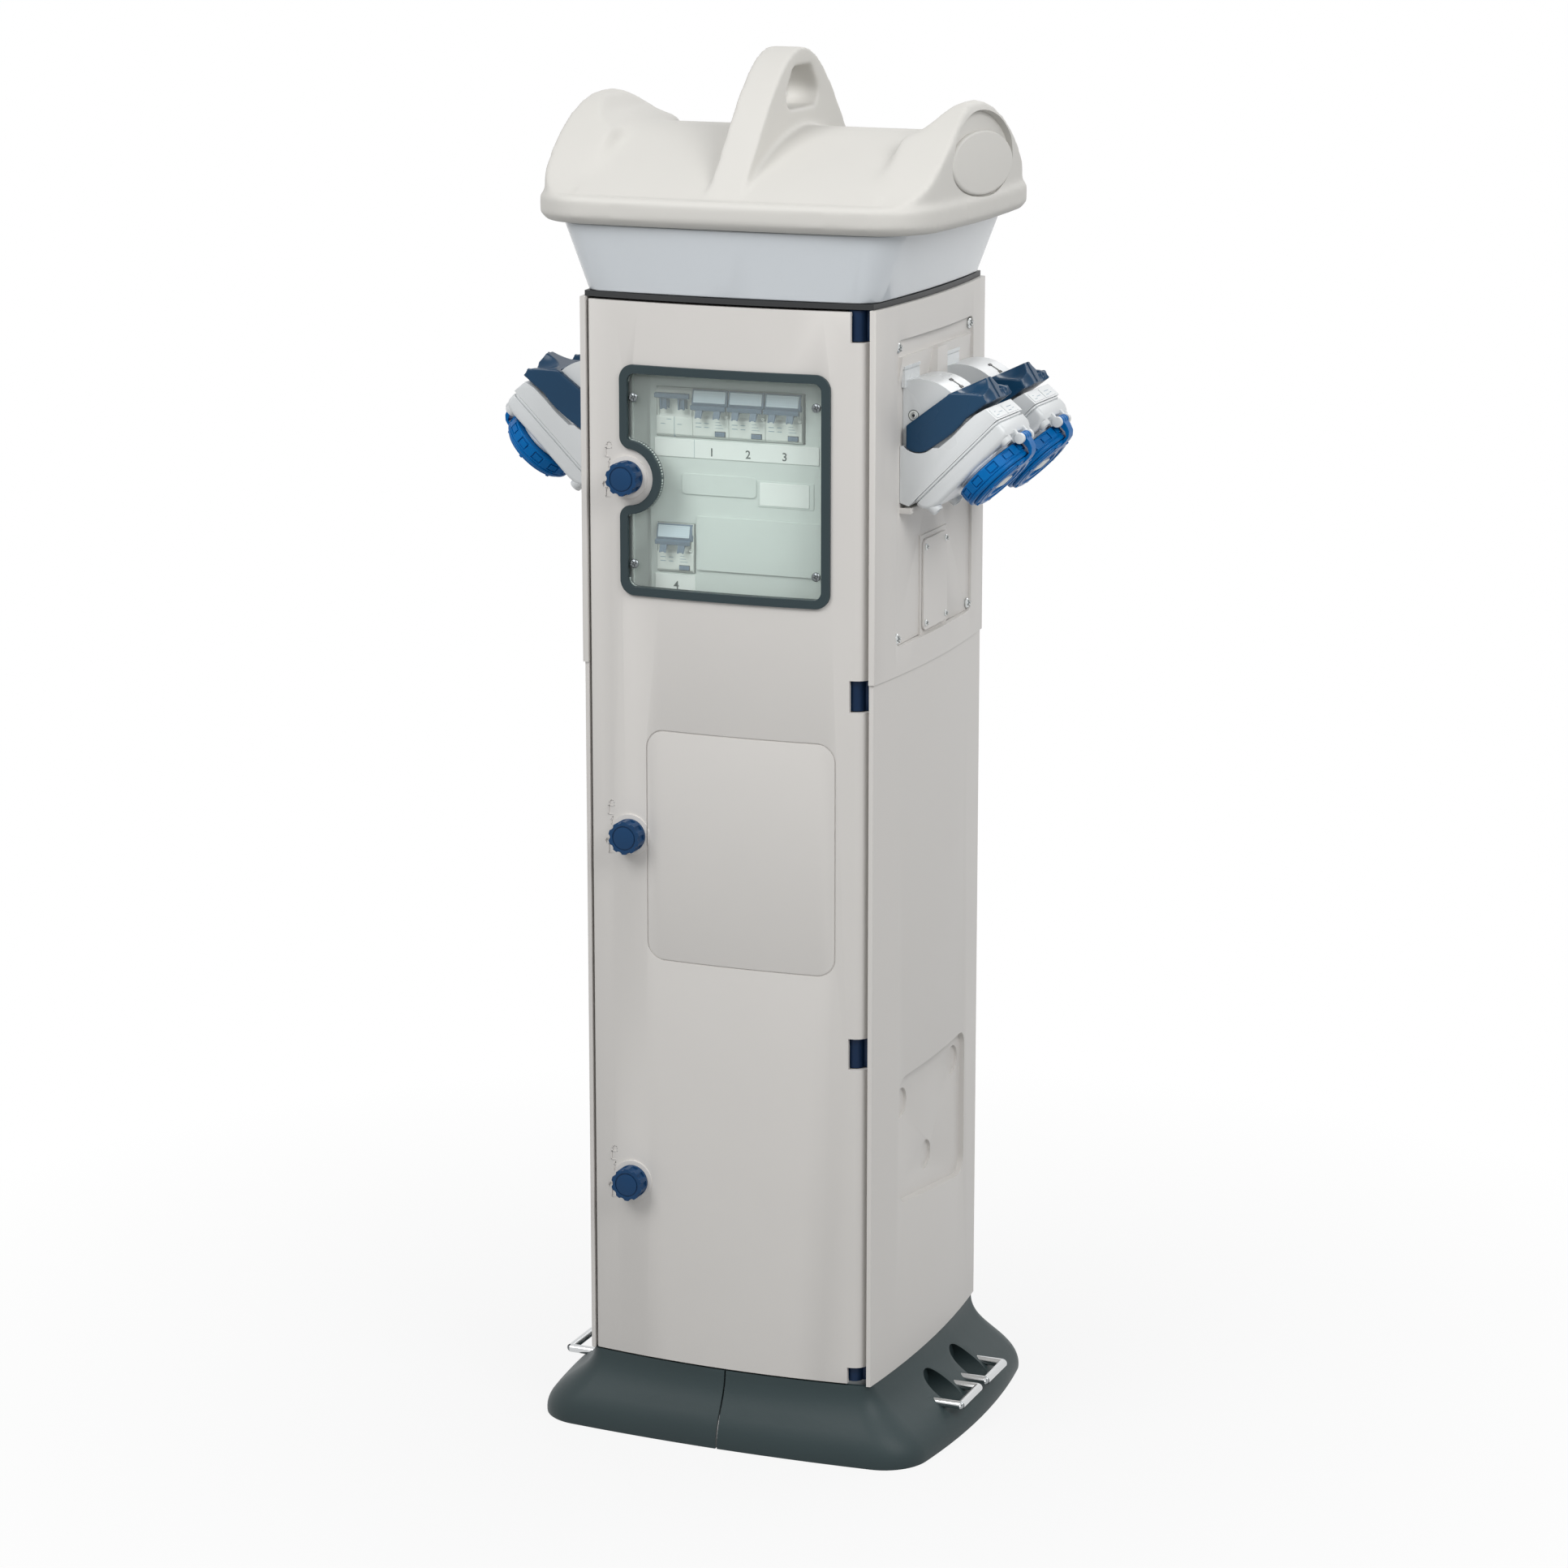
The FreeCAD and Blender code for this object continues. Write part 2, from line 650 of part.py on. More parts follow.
def window_shape(name, inset, low, high):
    """The window's outline between two depths: a rounded rectangle with a round bite for the knob."""
    owner = body(name + "_rectangle")
    flat = sketch(owner, name + "_outline", "XZ_Plane", low)
    half = "window_width / 2 - (%s)" % inset
    bottom, top = "window_low + (%s)" % inset, "window_high - (%s)" % inset
    outline(flat, [("-(%s)" % half, bottom), (half, bottom), (half, top), ("-(%s)" % half, top)])
    pad(owner, flat, "(%s) - (%s)" % (high, low))
    soften(owner, "window_corner - (%s) * 0.8" % inset, along("y"))
    bite = rod(name + "_bite", "notch_radius + (%s)" % inset, "y", "-" + BIG, BIG, "-knob_from_middle",
               "knob_top")
    drawn = cut(name + "_drawn", owner, bite)

    def shoulder(edge):
        middle = edge.BoundBox.Center
        near = abs(middle.z - val("knob_top")) < val("notch_radius + (%s) + 2" % inset)
        return along("y")(edge) and near and middle.x < val("-window_width / 2 + (%s) + 1" % inset)
    return rounded(name, drawn, "notch_round - (%s)" % inset, shoulder)


def face_layer(name, outside, inside):
    """The layer between two offsets of the column's front face."""
    outer = bowed_block(name + "_outer", outside, DOOR_LOW, DOOR_HIGH)
    inner = bowed_block(name + "_inner", inside, DOOR_LOW + " - 1", DOOR_HIGH + " + 1")
    front = block(name + "_front", ("-" + BIG, BIG), ("-" + BIG, "-door_back"), (DOOR_LOW, DOOR_HIGH))
    return common(name, cut(name + "_ring", outer, inner), front)


def knob_levels():
    return ["knob_top - %d * knob_pitch" % i for i in range(3)]


def hinge_edge(edge):
    """The upright edge where the door turns round its hinges."""
    middle = edge.BoundBox.Center
    return along("z")(edge) and middle.x > 0 and middle.y < -val("door_back") - 5


def free_edge(edge):
    middle = edge.BoundBox.Center
    return along("z")(edge) and middle.x < 0 and middle.y < -val("door_back") - 5


def door():
    outer = door_plan("0", "-door_back", DOOR_LOW, DOOR_HIGH)
    outer = rounded("door_outer_hinge_round", outer, "hinge_round - 0.2", hinge_edge)
    outer = rounded("door_outer_free_round", outer, "edge_round", free_edge)
    hollow = door_plan("door_skin", "-door_back + 1", DOOR_LOW + " + door_skin", DOOR_HIGH + " - door_skin")
    hollow = rounded("door_hollow_round", hollow, "hinge_round - door_skin - 0.2", hinge_edge)
    shell = cut("door_shell", outer, hollow)

    rim = block("door_rim_solid", ("-%s + 1" % DOOR_X, "%s - 1" % DOOR_X), ("-door_back - 3", "-door_back"),
                (DOOR_LOW + " + 1", DOOR_HIGH + " - 1"))
    rim_hole = block("door_rim_hole", ("-stop_left + 1", "stop_right + 1"), ("-" + BIG, BIG),
                     (DOOR_LOW + " + 28", DOOR_HIGH + " - 28"))
    lip = ring_block("door_lip", ("-stop_left - lip_wide - 1", "stop_right + lip_wide + 4"),
                     ("-door_back - 1", "-door_back + lip_deep"),
                     ("column_low + 20", "column_high - 20"), "lip_wide")
    bosses = []
    holes = []
    notches = []
    for index, (low, high) in enumerate(hinge_levels(), start=1):
        spans = []
        if index < 4:
            spans.append(("(%s) - boss_tall" % low, "(%s) - notch_gap" % low))
        if index > 1:
            spans.append(("(%s) + notch_gap" % high, "(%s) + boss_tall" % high))
        for turn, span in enumerate(spans):
            bosses.append(rod("door_boss_%d_%d" % (index, turn), "hinge_round - door_skin", "z", *span,
                              HINGE_X, HINGE_Y))
            holes.append(rod("door_pin_bore_%d_%d" % (index, turn), "pin_radius + pin_clearance", "z",
                             "(%s) - 1" % span[0], "(%s) + 1" % span[1], HINGE_X, HINGE_Y))
        notch = ("(%s) - notch_gap" % low if index < 4 else "0",
                 "(%s) + notch_gap" % high if index > 1 else "2000")
        notches.append(block("door_notch_%d" % index, ("%s - 2" % HINGE_X, BIG), ("-" + BIG, BIG),
                             notch))
        notches.append(block("door_relief_%d" % index, ("%s - 12" % HINGE_X, BIG),
                             ("%s - knuckle_radius - notch_gap" % HINGE_Y, BIG),
                             notch))
    collars = []
    for index, level in enumerate(knob_levels(), start=1):
        collars.append(rod("knob_collar_%d" % index, "knob_collar", "y", "-%s - collar_proud" % KNOB_FACE,
                           "-%s + 7" % KNOB_FACE, "-knob_from_middle", level))
        holes.append(rod("knob_bore_%d" % index, "shaft_radius + 0.1", "y", "-" + BIG, "0",
                         "-knob_from_middle", level))
    solid = fuse("door_solid", shell, cut("door_rim", rim, rim_hole), lip, *(bosses + collars))
    window = window_shape("window_hole", "0", "100", "200")
    groove_x = ("label_middle - label_width / 2", "label_middle + label_width / 2")
    label = body("label_field")
    flat = sketch(label, "label_outline", "XZ_Plane", "100")
    outline(flat, [(groove_x[0], "label_low"), (groove_x[1], "label_low"),
                   (groove_x[1], "label_high"), (groove_x[0], "label_high")])
    pad(label, flat, "100")
    soften(label, "18", along("y"))
    field = body("label_island")
    flat = sketch(field, "island_outline", "XZ_Plane", "90")
    outline(flat, [("%s + label_groove" % groove_x[0], "label_low + label_groove"),
                   ("%s - label_groove" % groove_x[1], "label_low + label_groove"),
                   ("%s - label_groove" % groove_x[1], "label_high - label_groove"),
                   ("%s + label_groove" % groove_x[0], "label_high - label_groove")])
    pad(field, flat, "120")
    soften(field, "18 - label_groove", along("y"))
    groove = common("label_groove_layer", cut("label_frame", label, field),
                    face_layer("label_depth", "1", "-0.9"))
    node(cut("front_door", solid, window, groove, *(holes + notches)), "front_door")

    seal = ring_block("door_seal", ("-stop_left - lip_wide - 1", "stop_right + lip_wide + 4"),
                      ("-door_back + lip_deep", "-door_back + lip_deep + seal_thick"),
                      ("column_low + 20", "column_high - 20"), "lip_wide")
    node(seal, "door_seal")


KNOB_FACE = face_at("knob_from_middle")


def window():
    outline_out = window_shape("gasket_outside", "0", "100", "200")
    outline_in = window_shape("gasket_inside", "gasket_band", "90", "210")
    gasket = common("window_gasket", cut("gasket_prism", outline_out, outline_in),
                    face_layer("gasket_layer", "gasket_proud", "-gasket_deep"))
    node(gasket, "window_gasket")
    pane = common("pane_solid", window_shape("pane_prism", "gasket_band", "100", "200"),
                  face_layer("pane_layer", "-1", "-1 - pane_thick"))
    screws = []
    bores = []
    for i, (x, z) in enumerate((("-89", "window_low + 29"), ("89", "window_low + 29"),
                                ("-89", "window_high - 30"), ("89", "window_high - 30")), start=1):
        place = (x, z)
        face = face_at("89", "-1")
        bores.append(rod("pane_bore_%d" % i, "2.4", "y", "-" + BIG, "0", *place))
        head = rod("pane_screw_head_%d" % i, "4.2", "y", "-%s - 3" % face, "-%s - 0.6" % face, *place)
        shank = rod("pane_screw_shank_%d" % i, "2.2", "y", "-%s - 3" % face, "-%s + 9" % face, *place)
        screws.append(fuse("pane_screw_%d" % i, head, shank))
    node(cut("window_pane", pane, *bores), "window_pane")
    node(group("window_screws", screws), "window_screws")


def knobs():
    for index, (name, level) in enumerate(zip(("upper", "middle", "lower"), knob_levels()), start=1):
        face = "-%s - collar_proud - seat_gap" % KNOB_FACE
        grip = rod("grip_" + name, "knob_radius", "y", "%s - knob_long" % face, face, "-knob_from_middle",
                   level)
        tools = []
        for step in range(10):
            angle = 36 * step
            tools.append(rod("scallop_%s_%d" % (name, step), "3.6", "y", "%s - knob_long - 1" % face,
                             "%s - 3" % face,
                             "-knob_from_middle + (knob_radius + 2) * cos(%d)" % angle,
                             "%s + (knob_radius + 2) * sin(%d)" % (level, angle)))
        ring_out = rod("face_ring_out_" + name, "knob_radius - 4", "y", "%s - knob_long - 1" % face,
                       "%s - knob_long + 0.9" % face, "-knob_from_middle", level)
        ring_in = rod("face_ring_in_" + name, "knob_radius - 5.2", "y", "%s - knob_long - 2" % face,
                      "%s - knob_long + 2" % face, "-knob_from_middle", level)
        stem = rod("stem_" + name, "shaft_radius", "y", face + " - 5",
                   "-stop_front + stop_thick + 2 - seat_gap",
                   "-knob_from_middle", level)
        shape = cut("scalloped_" + name, grip, cut("face_ring_" + name, ring_out, ring_in), *tools)
        node(fuse("knob_" + name, shape, stem), "knob_" + name)
        cam_front = "-stop_front + stop_thick + 2"
        hub = rod("cam_hub_" + name, "cam_wide / 2", "y", cam_front, "%s + cam_thick" % cam_front,
                  "-knob_from_middle", level)
        tongue = block("cam_tongue_" + name, ("-knob_from_middle - cam_wide / 2",
                                              "-knob_from_middle + cam_wide / 2"),
                       (cam_front, "%s + cam_thick" % cam_front), (level, "%s + cam_long" % level))
        node(fuse("latch_cam_" + name, hub, tongue), "latch_cam_" + name)


def hinges():
    brackets = []
    pins = []
    for index, (low, high) in enumerate(hinge_levels(), start=1):
        knuckle = rod("knuckle_%d" % index, "knuckle_radius", "z", low, high, HINGE_X, HINGE_Y)
        leaf_end = "%s - 2 * seat_gap" % side_at("hinge_back + 1", "-wall")
        leaf = block("hinge_leaf_%d" % index, (HINGE_X, leaf_end),
                     ("%s - 1" % HINGE_Y, "%s + knuckle_radius" % HINGE_Y), (low, high))
        bore = rod("hinge_bore_%d" % index, "pin_radius", "z", "0", "2000", HINGE_X, HINGE_Y)
        brackets.append(cut("hinge_bracket_%d" % index, fuse("hinge_solid_%d" % index, knuckle, leaf), bore))
        ends = ("(%s) - boss_tall + 1" % low if index < 4 else low,
                "(%s) + boss_tall - 1" % high if index > 1 else high)
        pins.append(rod("hinge_pin_%d" % index, "pin_radius", "z", *ends, HINGE_X, HINGE_Y))
    node(group("hinge_brackets", brackets), "hinge_brackets")
    node(group("hinge_pins", pins), "hinge_pins")


# Cord hooks on the foot
def hooks():
    bars = []
    for side in (1, -1):
        for place in (-1, 1):
            owner = body("hook_%s_%d" % ("right" if side > 0 else "left", (place + 3) // 2))
            flat = sketch(owner, owner.Name + "_path", "XY_Plane", "hook_level")
            middle = "%d * hook_pitch / 2" % place
            inner_x, outer_x = "%d * 166" % side, "%d * (hook_out - hook_bar / 2)" % side
            points = [(inner_x, "%s - hook_span / 2" % middle), (outer_x, "%s - hook_span / 2" % middle),
                      (outer_x, "%s + hook_span / 2" % middle), (inner_x, "%s + hook_span / 2" % middle)]
            spots = [Vector(val(a), val(b), 0) for a, b in points]
            for index in range(3):
                flat.addGeometry(Part.LineSegment(spots[index], spots[index + 1]))
            for index in range(3):
                pin_point(flat, index, 1, points[index])
            for index in range(2):
                flat.addConstraint(Sketcher.Constraint("Coincident", index, 2, index + 1, 1))
            pin_point(flat, 2, 2, points[3])
            ring = sketch(owner, owner.Name + "_section", "YZ_Plane", inner_x)
            circle(ring, "hook_bar / 2", points[0][1], "hook_level")
            pipe = owner.newObject("PartDesign::AdditivePipe", owner.Name + "_pipe")
            pipe.Profile = ring
            pipe.Spine = flat
            pipe.Transition = "Round corner"
            owner.Tip = pipe
            bars.append(owner)
    node(group("cord_hooks", bars), "cord_hooks")


# Side panels and their sockets
def side_frames():
    outer = bowed_block("frame_outside", "frame_proud", "frame_low + seat_gap", "column_high")
    inner = bowed_block("frame_inside", "-wall", "frame_low", "column_high + 1")
    keep = block("frame_keep", (INSIDE_X, BIG), ("-" + BIG, BIG), ("frame_low + seat_gap", "column_high"))
    wall = common("frame_wall", cut("frame_ring", outer, inner), keep)
    half = "opening_wide / 2"
    back = "panel_face - panel_thick"
    ledge = block("ledge_solid", (back + " - 6", back + " + 1"), ("-%s - 8" % half, half + " + 8"),
                  ("opening_low - 8", "opening_high + 8"))
    through = body("frame_opening")
    flat = sketch(through, "opening_outline", "YZ_Plane", back + " - seat_gap")
    outline(flat, [("-" + half, "opening_low"), (half, "opening_low"), (half, "opening_high"),
                   ("-" + half, "opening_high")])
    pad(through, flat, "40")
    soften(through, "10", along("x"))
    deep = block("ledge_opening", (back + " - 20", back + " + 5"), ("-%s + ledge" % half, half + " - ledge"),
                 ("opening_low + ledge", "opening_high - ledge"))
    screw_holes = [rod("corner_bore_%d" % i, "2.6", "x", "100", "200", y, z)
                   for i, (y, z) in enumerate(PANEL_CORNERS, start=1)]
    right = cut("frame_right", fuse("frame_solid", wall, ledge), through, deep, *screw_holes)
    node(group("socket_frames", [right, mirrored("frame_left", right)]), "socket_frames")

    plate = body("panel_plate")
    flat = sketch(plate, "plate_outline", "YZ_Plane", back)
    edge, low, high = "(%s - seat_gap)" % half, "opening_low + seat_gap", "opening_high - seat_gap"
    outline(flat, [("-" + edge, low), (edge, low), (edge, high), ("-" + edge, high)])
    pad(plate, flat, "panel_thick")
    soften(plate, "10 - seat_gap", along("x"))
    rib = block("panel_rib", ("panel_face - 1", "panel_face + rib_proud"), ("-13", "13"),
                ("opening_low + 122", "opening_high - 16"))
    roof = prism("panel_roof", "XZ_Plane", [("panel_face - 1", "opening_high - 40"),
                                            ("panel_face", "opening_high - 40"),
                                            ("panel_face + 4", "opening_high - 16"),
                                            ("panel_face - 1",
                                             "opening_high - 16")], "-opening_wide / 2 + 10",
                 "opening_wide / 2 - 10")
    shelf = [block("panel_shelf_%d" % i, ("panel_face - 1", "panel_face + 11"),
                   ("%s - socket_width / 2" % y, "%s + socket_width / 2" % y),
                   ("pivot_high - 76", "pivot_high - 71")) for i, y in enumerate(SOCKET_Y, start=1)]
    surround = block("blank_surround", ("panel_face - 1", "panel_face + 1.5"), ("-35", "35"),
                     ("opening_low", "opening_low + 92"))
    cable_holes = [rod("socket_bore_%d" % i, "14", "x", "100", "200", y, "pivot_high - 20")
                   for i, y in enumerate(SOCKET_Y, start=1)]
    right = cut("panel_right", fuse("panel_solid", plate, rib, roof, surround, *shelf),
                *(screw_holes + cable_holes))
    node(group("socket_panels", [right, mirrored("panel_left", right)]), "socket_panels")

    blank = body("blank_solid")
    flat = sketch(blank, "blank_outline", "YZ_Plane", "panel_face + 1.5")
    outline(flat, [("-31", "opening_low + 3"), ("31", "opening_low + 3"), ("31", "opening_low + 88"),
                   ("-31", "opening_low + 88")])
    pad(blank, flat, "2.5")
    soften(blank, "6", along("x"))
    node(group("blank_plates", [blank, mirrored("blank_left", blank)]), "blank_plates")

    screws = []
    for i, (y, z) in enumerate(PANEL_CORNERS, start=1):
        head = rod("corner_head_%d" % i, "5", "x", "panel_face + 0.1", "panel_face + 3.2", y, z)
        shank = rod("corner_shank_%d" % i, "2.5", "x", "panel_face - panel_thick - 5", "panel_face + 3.2", y,
                    z)
        screws.append(fuse("corner_screw_%d" % i, head, shank))
    for i, (y, z) in enumerate((("-26", "opening_low + 10"), ("26", "opening_low + 10"),
                                ("26", "opening_low + 81"), ("-26", "opening_low + 81")), start=1):
        screws.append(rod("blank_head_%d" % i, "3", "x", "panel_face + 4", "panel_face + 5.4", y, z))
    left = [mirrored(item.Name + "_left", item) for item in screws]
    node(group("panel_screws", screws + left), "panel_screws")


SOCKET_Y = ("-socket_pitch / 2", "socket_pitch / 2")
CORNER_Y = "(opening_wide / 2 - ledge / 2)"
PANEL_CORNERS = (("-" + CORNER_Y, "opening_low + ledge / 2"), (CORNER_Y, "opening_low + ledge / 2"),
                 (CORNER_Y, "opening_high - ledge / 2"), ("-" + CORNER_Y, "opening_high - ledge / 2"))


def place_socket(obj, index):
    """Places a socket piece drawn round its lever pivot: 1 and 2 on the right, 3 and 4 on the left."""
    side = 1 if index < 3 else -1
    depth = SOCKET_Y[(index - 1) % 2]
    obj.Placement = Placement(Vector(), Rotation(Vector(0, 0, 1), 0 if side > 0 else 180))
    return move(obj, "%d * pivot_out" % side, depth, "pivot_high")


COVER_START = (-8.2, -69.0)


def place_cover(obj, index):
    """Places a piece drawn along the sloping cover: +X runs up the slope and -Z points outwards."""
    side = 1 if index < 3 else -1
    angle = val("cover_angle")
    turn = Rotation(Vector(0, 1, 0), -angle)
    if side < 0:
        turn = Rotation(Vector(0, 0, 1), 180).multiply(turn)
    obj.Placement = Placement(Vector(), turn)
    return move(obj, "%d * (pivot_out + %s)" % (side, COVER_START[0]), SOCKET_Y[(index - 1) % 2],
                "pivot_high + %s" % COVER_START[1])


def copies(name, source, placer):
    """Four links of one drawn piece, one at each socket."""
    result = []
    for index in range(1, 5):
        link = add("Part::Compound", "%s_%d" % (name, index))
        link.Links = [source]
        result.append(placer(link, index))
    return result


def slope(along_slope, outwards):
    """A point on the sloping cover's own axes, round the lever pivot."""
    a = "cos(cover_angle)"
    b = "sin(cover_angle)"
    return ("%s + (%s) * %s + (%s) * %s" % (COVER_START[0], along_slope, a, outwards, b),
            "%s + (%s) * %s - (%s) * %s" % (COVER_START[1], along_slope, b, outwards, a))


def sockets():
    half = "socket_width / 2"
    wall_x = "panel_face + seat_gap - pivot_out"
    wedge = prism("socket_wedge", "XZ_Plane",
                  [(wall_x, "-66"), slope("0", "0"), slope("cover_long + 7", "0"), ("64.2", "23.5"),
                   ("55", "18"), ("45", "9"), ("33", "-3.5"), ("20", "-14.5"), (wall_x, "-14.5")],
                  "-" + half, half)
    drum_half = "%s - lever_arm - lever_gap" % half
    drum = rod("socket_drum", "drum_radius", "y", "-(%s)" % drum_half, drum_half, "0", "0")
    drum_keep = prism("drum_keep", "XZ_Plane", [(wall_x, "-30"), slope("63", "0"),
                                                slope("cover_long + 7", "0"),
                                                ("73", "60"), (wall_x, "60")], "-100", "100")
    pivot = rod("socket_pivot", "pivot_radius", "y", "-%s + 0.5" % half, half + " - 0.5", "0", "0")
    bore = rod("socket_cable_bore", "12", "x", wall_x + " - 5", wall_x + " + 8", "0", "-20")
    relief = rod("drum_relief", "lever_reach + 0.8", "y", "-100", "100", "0", "0")
    arm_room = [block("arm_room_%d" % i, (wall_x + " - 1", "200"), limits, ("-60", "90"))
                for i, limits in enumerate((("-100", "-(%s)" % drum_half), (drum_half, "100")), start=1)]
    wedge_top = fuse("wedge_and_drum", wedge, common("drum_half", drum, drum_keep))
    solid = fuse("socket_solid", cut("socket_shape", wedge_top,
                                     common("arm_relief", relief, fuse("arm_rooms", *arm_room))),
                 pivot)
    node(group("socket_bodies", copies("socket_body", cut("socket_drawn", solid, bore), place_socket)),
         "socket_bodies")

    slab = body("cover_slab")
    flat = sketch(slab, "cover_outline", "XY_Plane", "-cover_thick")
    outline(flat, [("6", "-" + half), ("6 + cover_long", "-" + half), ("6 + cover_long", half), ("6", half)])
    pad(slab, flat, "cover_thick - seat_gap")
    soften(slab, "9", along("z"))
    collar = rod("cover_collar", "collar_radius", "z", "-cover_thick - collar_long", "-cover_thick + 1",
                 "ring_along", "0")
    mouth = rod("cover_mouth", "plug_bore", "z", "-cover_thick - collar_long - 5", "-3", "ring_along", "0")
    hinge_along, hinge_out = "ring_along + ring_radius + 6.5", "-cover_thick - 5.2"
    ears = [block("cover_ear_%d" % i, (hinge_along + " - 4", hinge_along + " + 4"), limits,
                  (hinge_out + " - 4", "-cover_thick + 1"))
            for i, limits in enumerate((("-15", "-9.4"), ("9.4", "15")), start=1)]
    hinge_pin = rod("cover_hinge_pin", "lid_pin", "y", "-15", "15", hinge_along, hinge_out)
    cover = fuse("cover_drawn", cut("cover_bored", fuse("cover_solid", slab, collar), mouth), hinge_pin,
                 *ears)
    node(group("socket_covers", copies("socket_cover", cover, place_cover)), "socket_covers")

    carrier = rod("carrier", "plug_bore - 0.3", "z", "-10", "-3 - seat_gap", "ring_along", "0")
    contacts = [rod("contact_bore_%d" % i, "3.2", "z", "-12", "-5", "ring_along + 11 * cos(%d)" % turn,
                    "11 * sin(%d)" % turn)
                for i, turn in enumerate((90, 210, 330), start=1)]
    node(group("socket_inserts", copies("socket_insert", cut("insert_drawn", carrier, *contacts),
                                        place_cover)),
         "socket_inserts")

    lid_low = "-cover_thick - collar_long - 1"
    disc_top = "(%s) - ring_long - 0.3" % lid_low
    disc = rod("lid_disc", "ring_radius - 3.5", "z", disc_top + " - lid_thick", disc_top, "ring_along", "0")
    rim_out = rod("lid_rim_out", "ring_radius - 6.7", "z", disc_top + " - 1", lid_low, "ring_along", "0")
    rim_in = rod("lid_rim_in", "ring_radius - 10", "z", disc_top, lid_low + " + 5", "ring_along", "0")
    arm = block("lid_arm", ("ring_along + 20", hinge_along + " + 3"), ("-8.8", "8.8"),
                (disc_top + " - lid_thick", disc_top))
    post = block("lid_post", (hinge_along + " - 3", hinge_along + " + 3"), ("-8.8", "8.8"),
                 (disc_top + " - 1", hinge_out))
    knuckle = rod("lid_knuckle", "4.4", "y", "-8.8", "8.8", hinge_along, hinge_out)
    knuckle_bore = rod("lid_knuckle_bore", "lid_pin + 0.1", "y", "-20", "20", hinge_along, hinge_out)
    flap = fuse("lid_solid", disc, cut("lid_rim", rim_out, rim_in), arm, post, knuckle)
    lid_drawn = cut("lid_drawn", flap, knuckle_bore)
    ring_out = rod("ring_out", "ring_radius", "z", "(%s) - ring_long" % lid_low, lid_low, "ring_along", "0")
    ring_in = rod("ring_in", "ring_radius - 6.3", "z", "(%s) - ring_long - 5" % lid_low, lid_low + " + 5",
                  "ring_along", "0")
    ring_drawn = cut("ring_drawn", ring_out, ring_in)
    for index, lid_copy in enumerate(copies("socket_lid", lid_drawn, place_cover), start=1):
        node(lid_copy, "socket_lid_%d" % index)
    for index, ring_copy in enumerate(copies("lid_ring", ring_drawn, place_cover), start=1):
        node(ring_copy, "lid_ring_%d" % index)

    belly = [("lever_reach * cos(%d)" % turn, "lever_reach * sin(%d)" % turn)
             for turn in (-125, -110, -95, -80, -65, -48)]
    belly += [("23.4", "-7.5"), ("33", "0")]
    heel, tip, bend = ("45.4", "13.7"), ("66.1", "29.4"), ("30.5", "35.6")
    arm_plan = belly + [heel, tip, ("62.3", "36.2"), bend, (belly[0][0], "4.2")]
    bridge_plan = [heel, tip, ("54.9", "47.5"), bend, ("36", "30")]
    inner = "(%s + 0.4)" % drum_half
    arms = [prism("lever_arm_1", "XZ_Plane", arm_plan, "-" + half, "-" + inner),
            prism("lever_arm_2", "XZ_Plane", arm_plan, inner, half),
            rod("lever_hub_1", "lever_hub", "y", "-" + half, "-" + inner, "0", "0"),
            rod("lever_hub_2", "lever_hub", "y", inner, half, "0", "0")]
    grip = prism("lever_grip", "XZ_Plane", bridge_plan, "-" + half, half)
    crest = prism("lever_crest", "YZ_Plane", [("-" + half, "5"), (half, "5"), (half, "36.2"), ("0", "48"),
                                              ("-" + half, "36.2")], "20", "80")
    bridge = common("lever_bridge", grip, crest)
    clear = rod("lever_clear", "drum_radius + 0.9", "y", "-" + inner, inner, "0", "0")
    pivot_bore = rod("lever_bore", "pivot_radius + 0.1", "y", "-100", "100", "0", "0")
    lever = cut("lever_drawn", fuse("lever_solid", bridge, *arms), clear, pivot_bore)
    for index, lever_copy in enumerate(copies("lever", lever, place_socket), start=1):
        node(lever_copy, "socket_lever_%d" % index)


# Head: top frame, light ring, lamp and lid
def head():
    base = "column_high + head_gap"
    plate = bowed_block("top_plate_solid", "-2", base, base + " + frame_thick")
    node(cut("top_frame", plate, rod("top_throat", "34", "z", "column_high - 5", "column_high + 20", "0",
                                     "0")), "top_frame")

    low = val(base + " + frame_thick + head_gap")
    high = val("column_high + glass_rise")

    def glass(inset):
        bottom = plan_wire(val("column_width / 2 - 3") - inset, val("column_depth / 2 - 3") - inset,
                           7.0, 9.0, 22.0 - inset, low)
        top = plan_wire(val("glass_wide / 2") - inset, val("glass_deep / 2 + 6") - inset, 7.0, 9.0,
                        34.0 - inset, high)
        return loft([bottom, top])
    shell = glass(0).cut(glass(val("glass_wall")))
    node(freeform("diffuser", shell), "diffuser")

    holder = [rod("holder_base", "46", "z", base + " + frame_thick + head_gap", base + " + frame_thick + 8",
                  "0", "0"),
              rod("holder_socket", "22", "z", base + " + frame_thick + 7", base + " + frame_thick + 22", "0",
                  "0")]
    node(cut("lamp_holder", fuse("holder_solid", *holder),
             rod("holder_bore", "9", "z", base, base + " + 12", "0", "0")), "lamp_holder")
    lamp = add("Part::Sphere", "lamp_globe")
    bind(lamp, "Radius", "28")
    move(lamp, "0", "0", base + " + frame_thick + 58")
    neck = rod("lamp_neck", "15", "z", base + " + frame_thick + 22 + seat_gap", base + " + frame_thick + 45",
               "0", "0")
    node(fuse("lamp_bulb", lamp, neck), "lamp_bulb")
    lid()


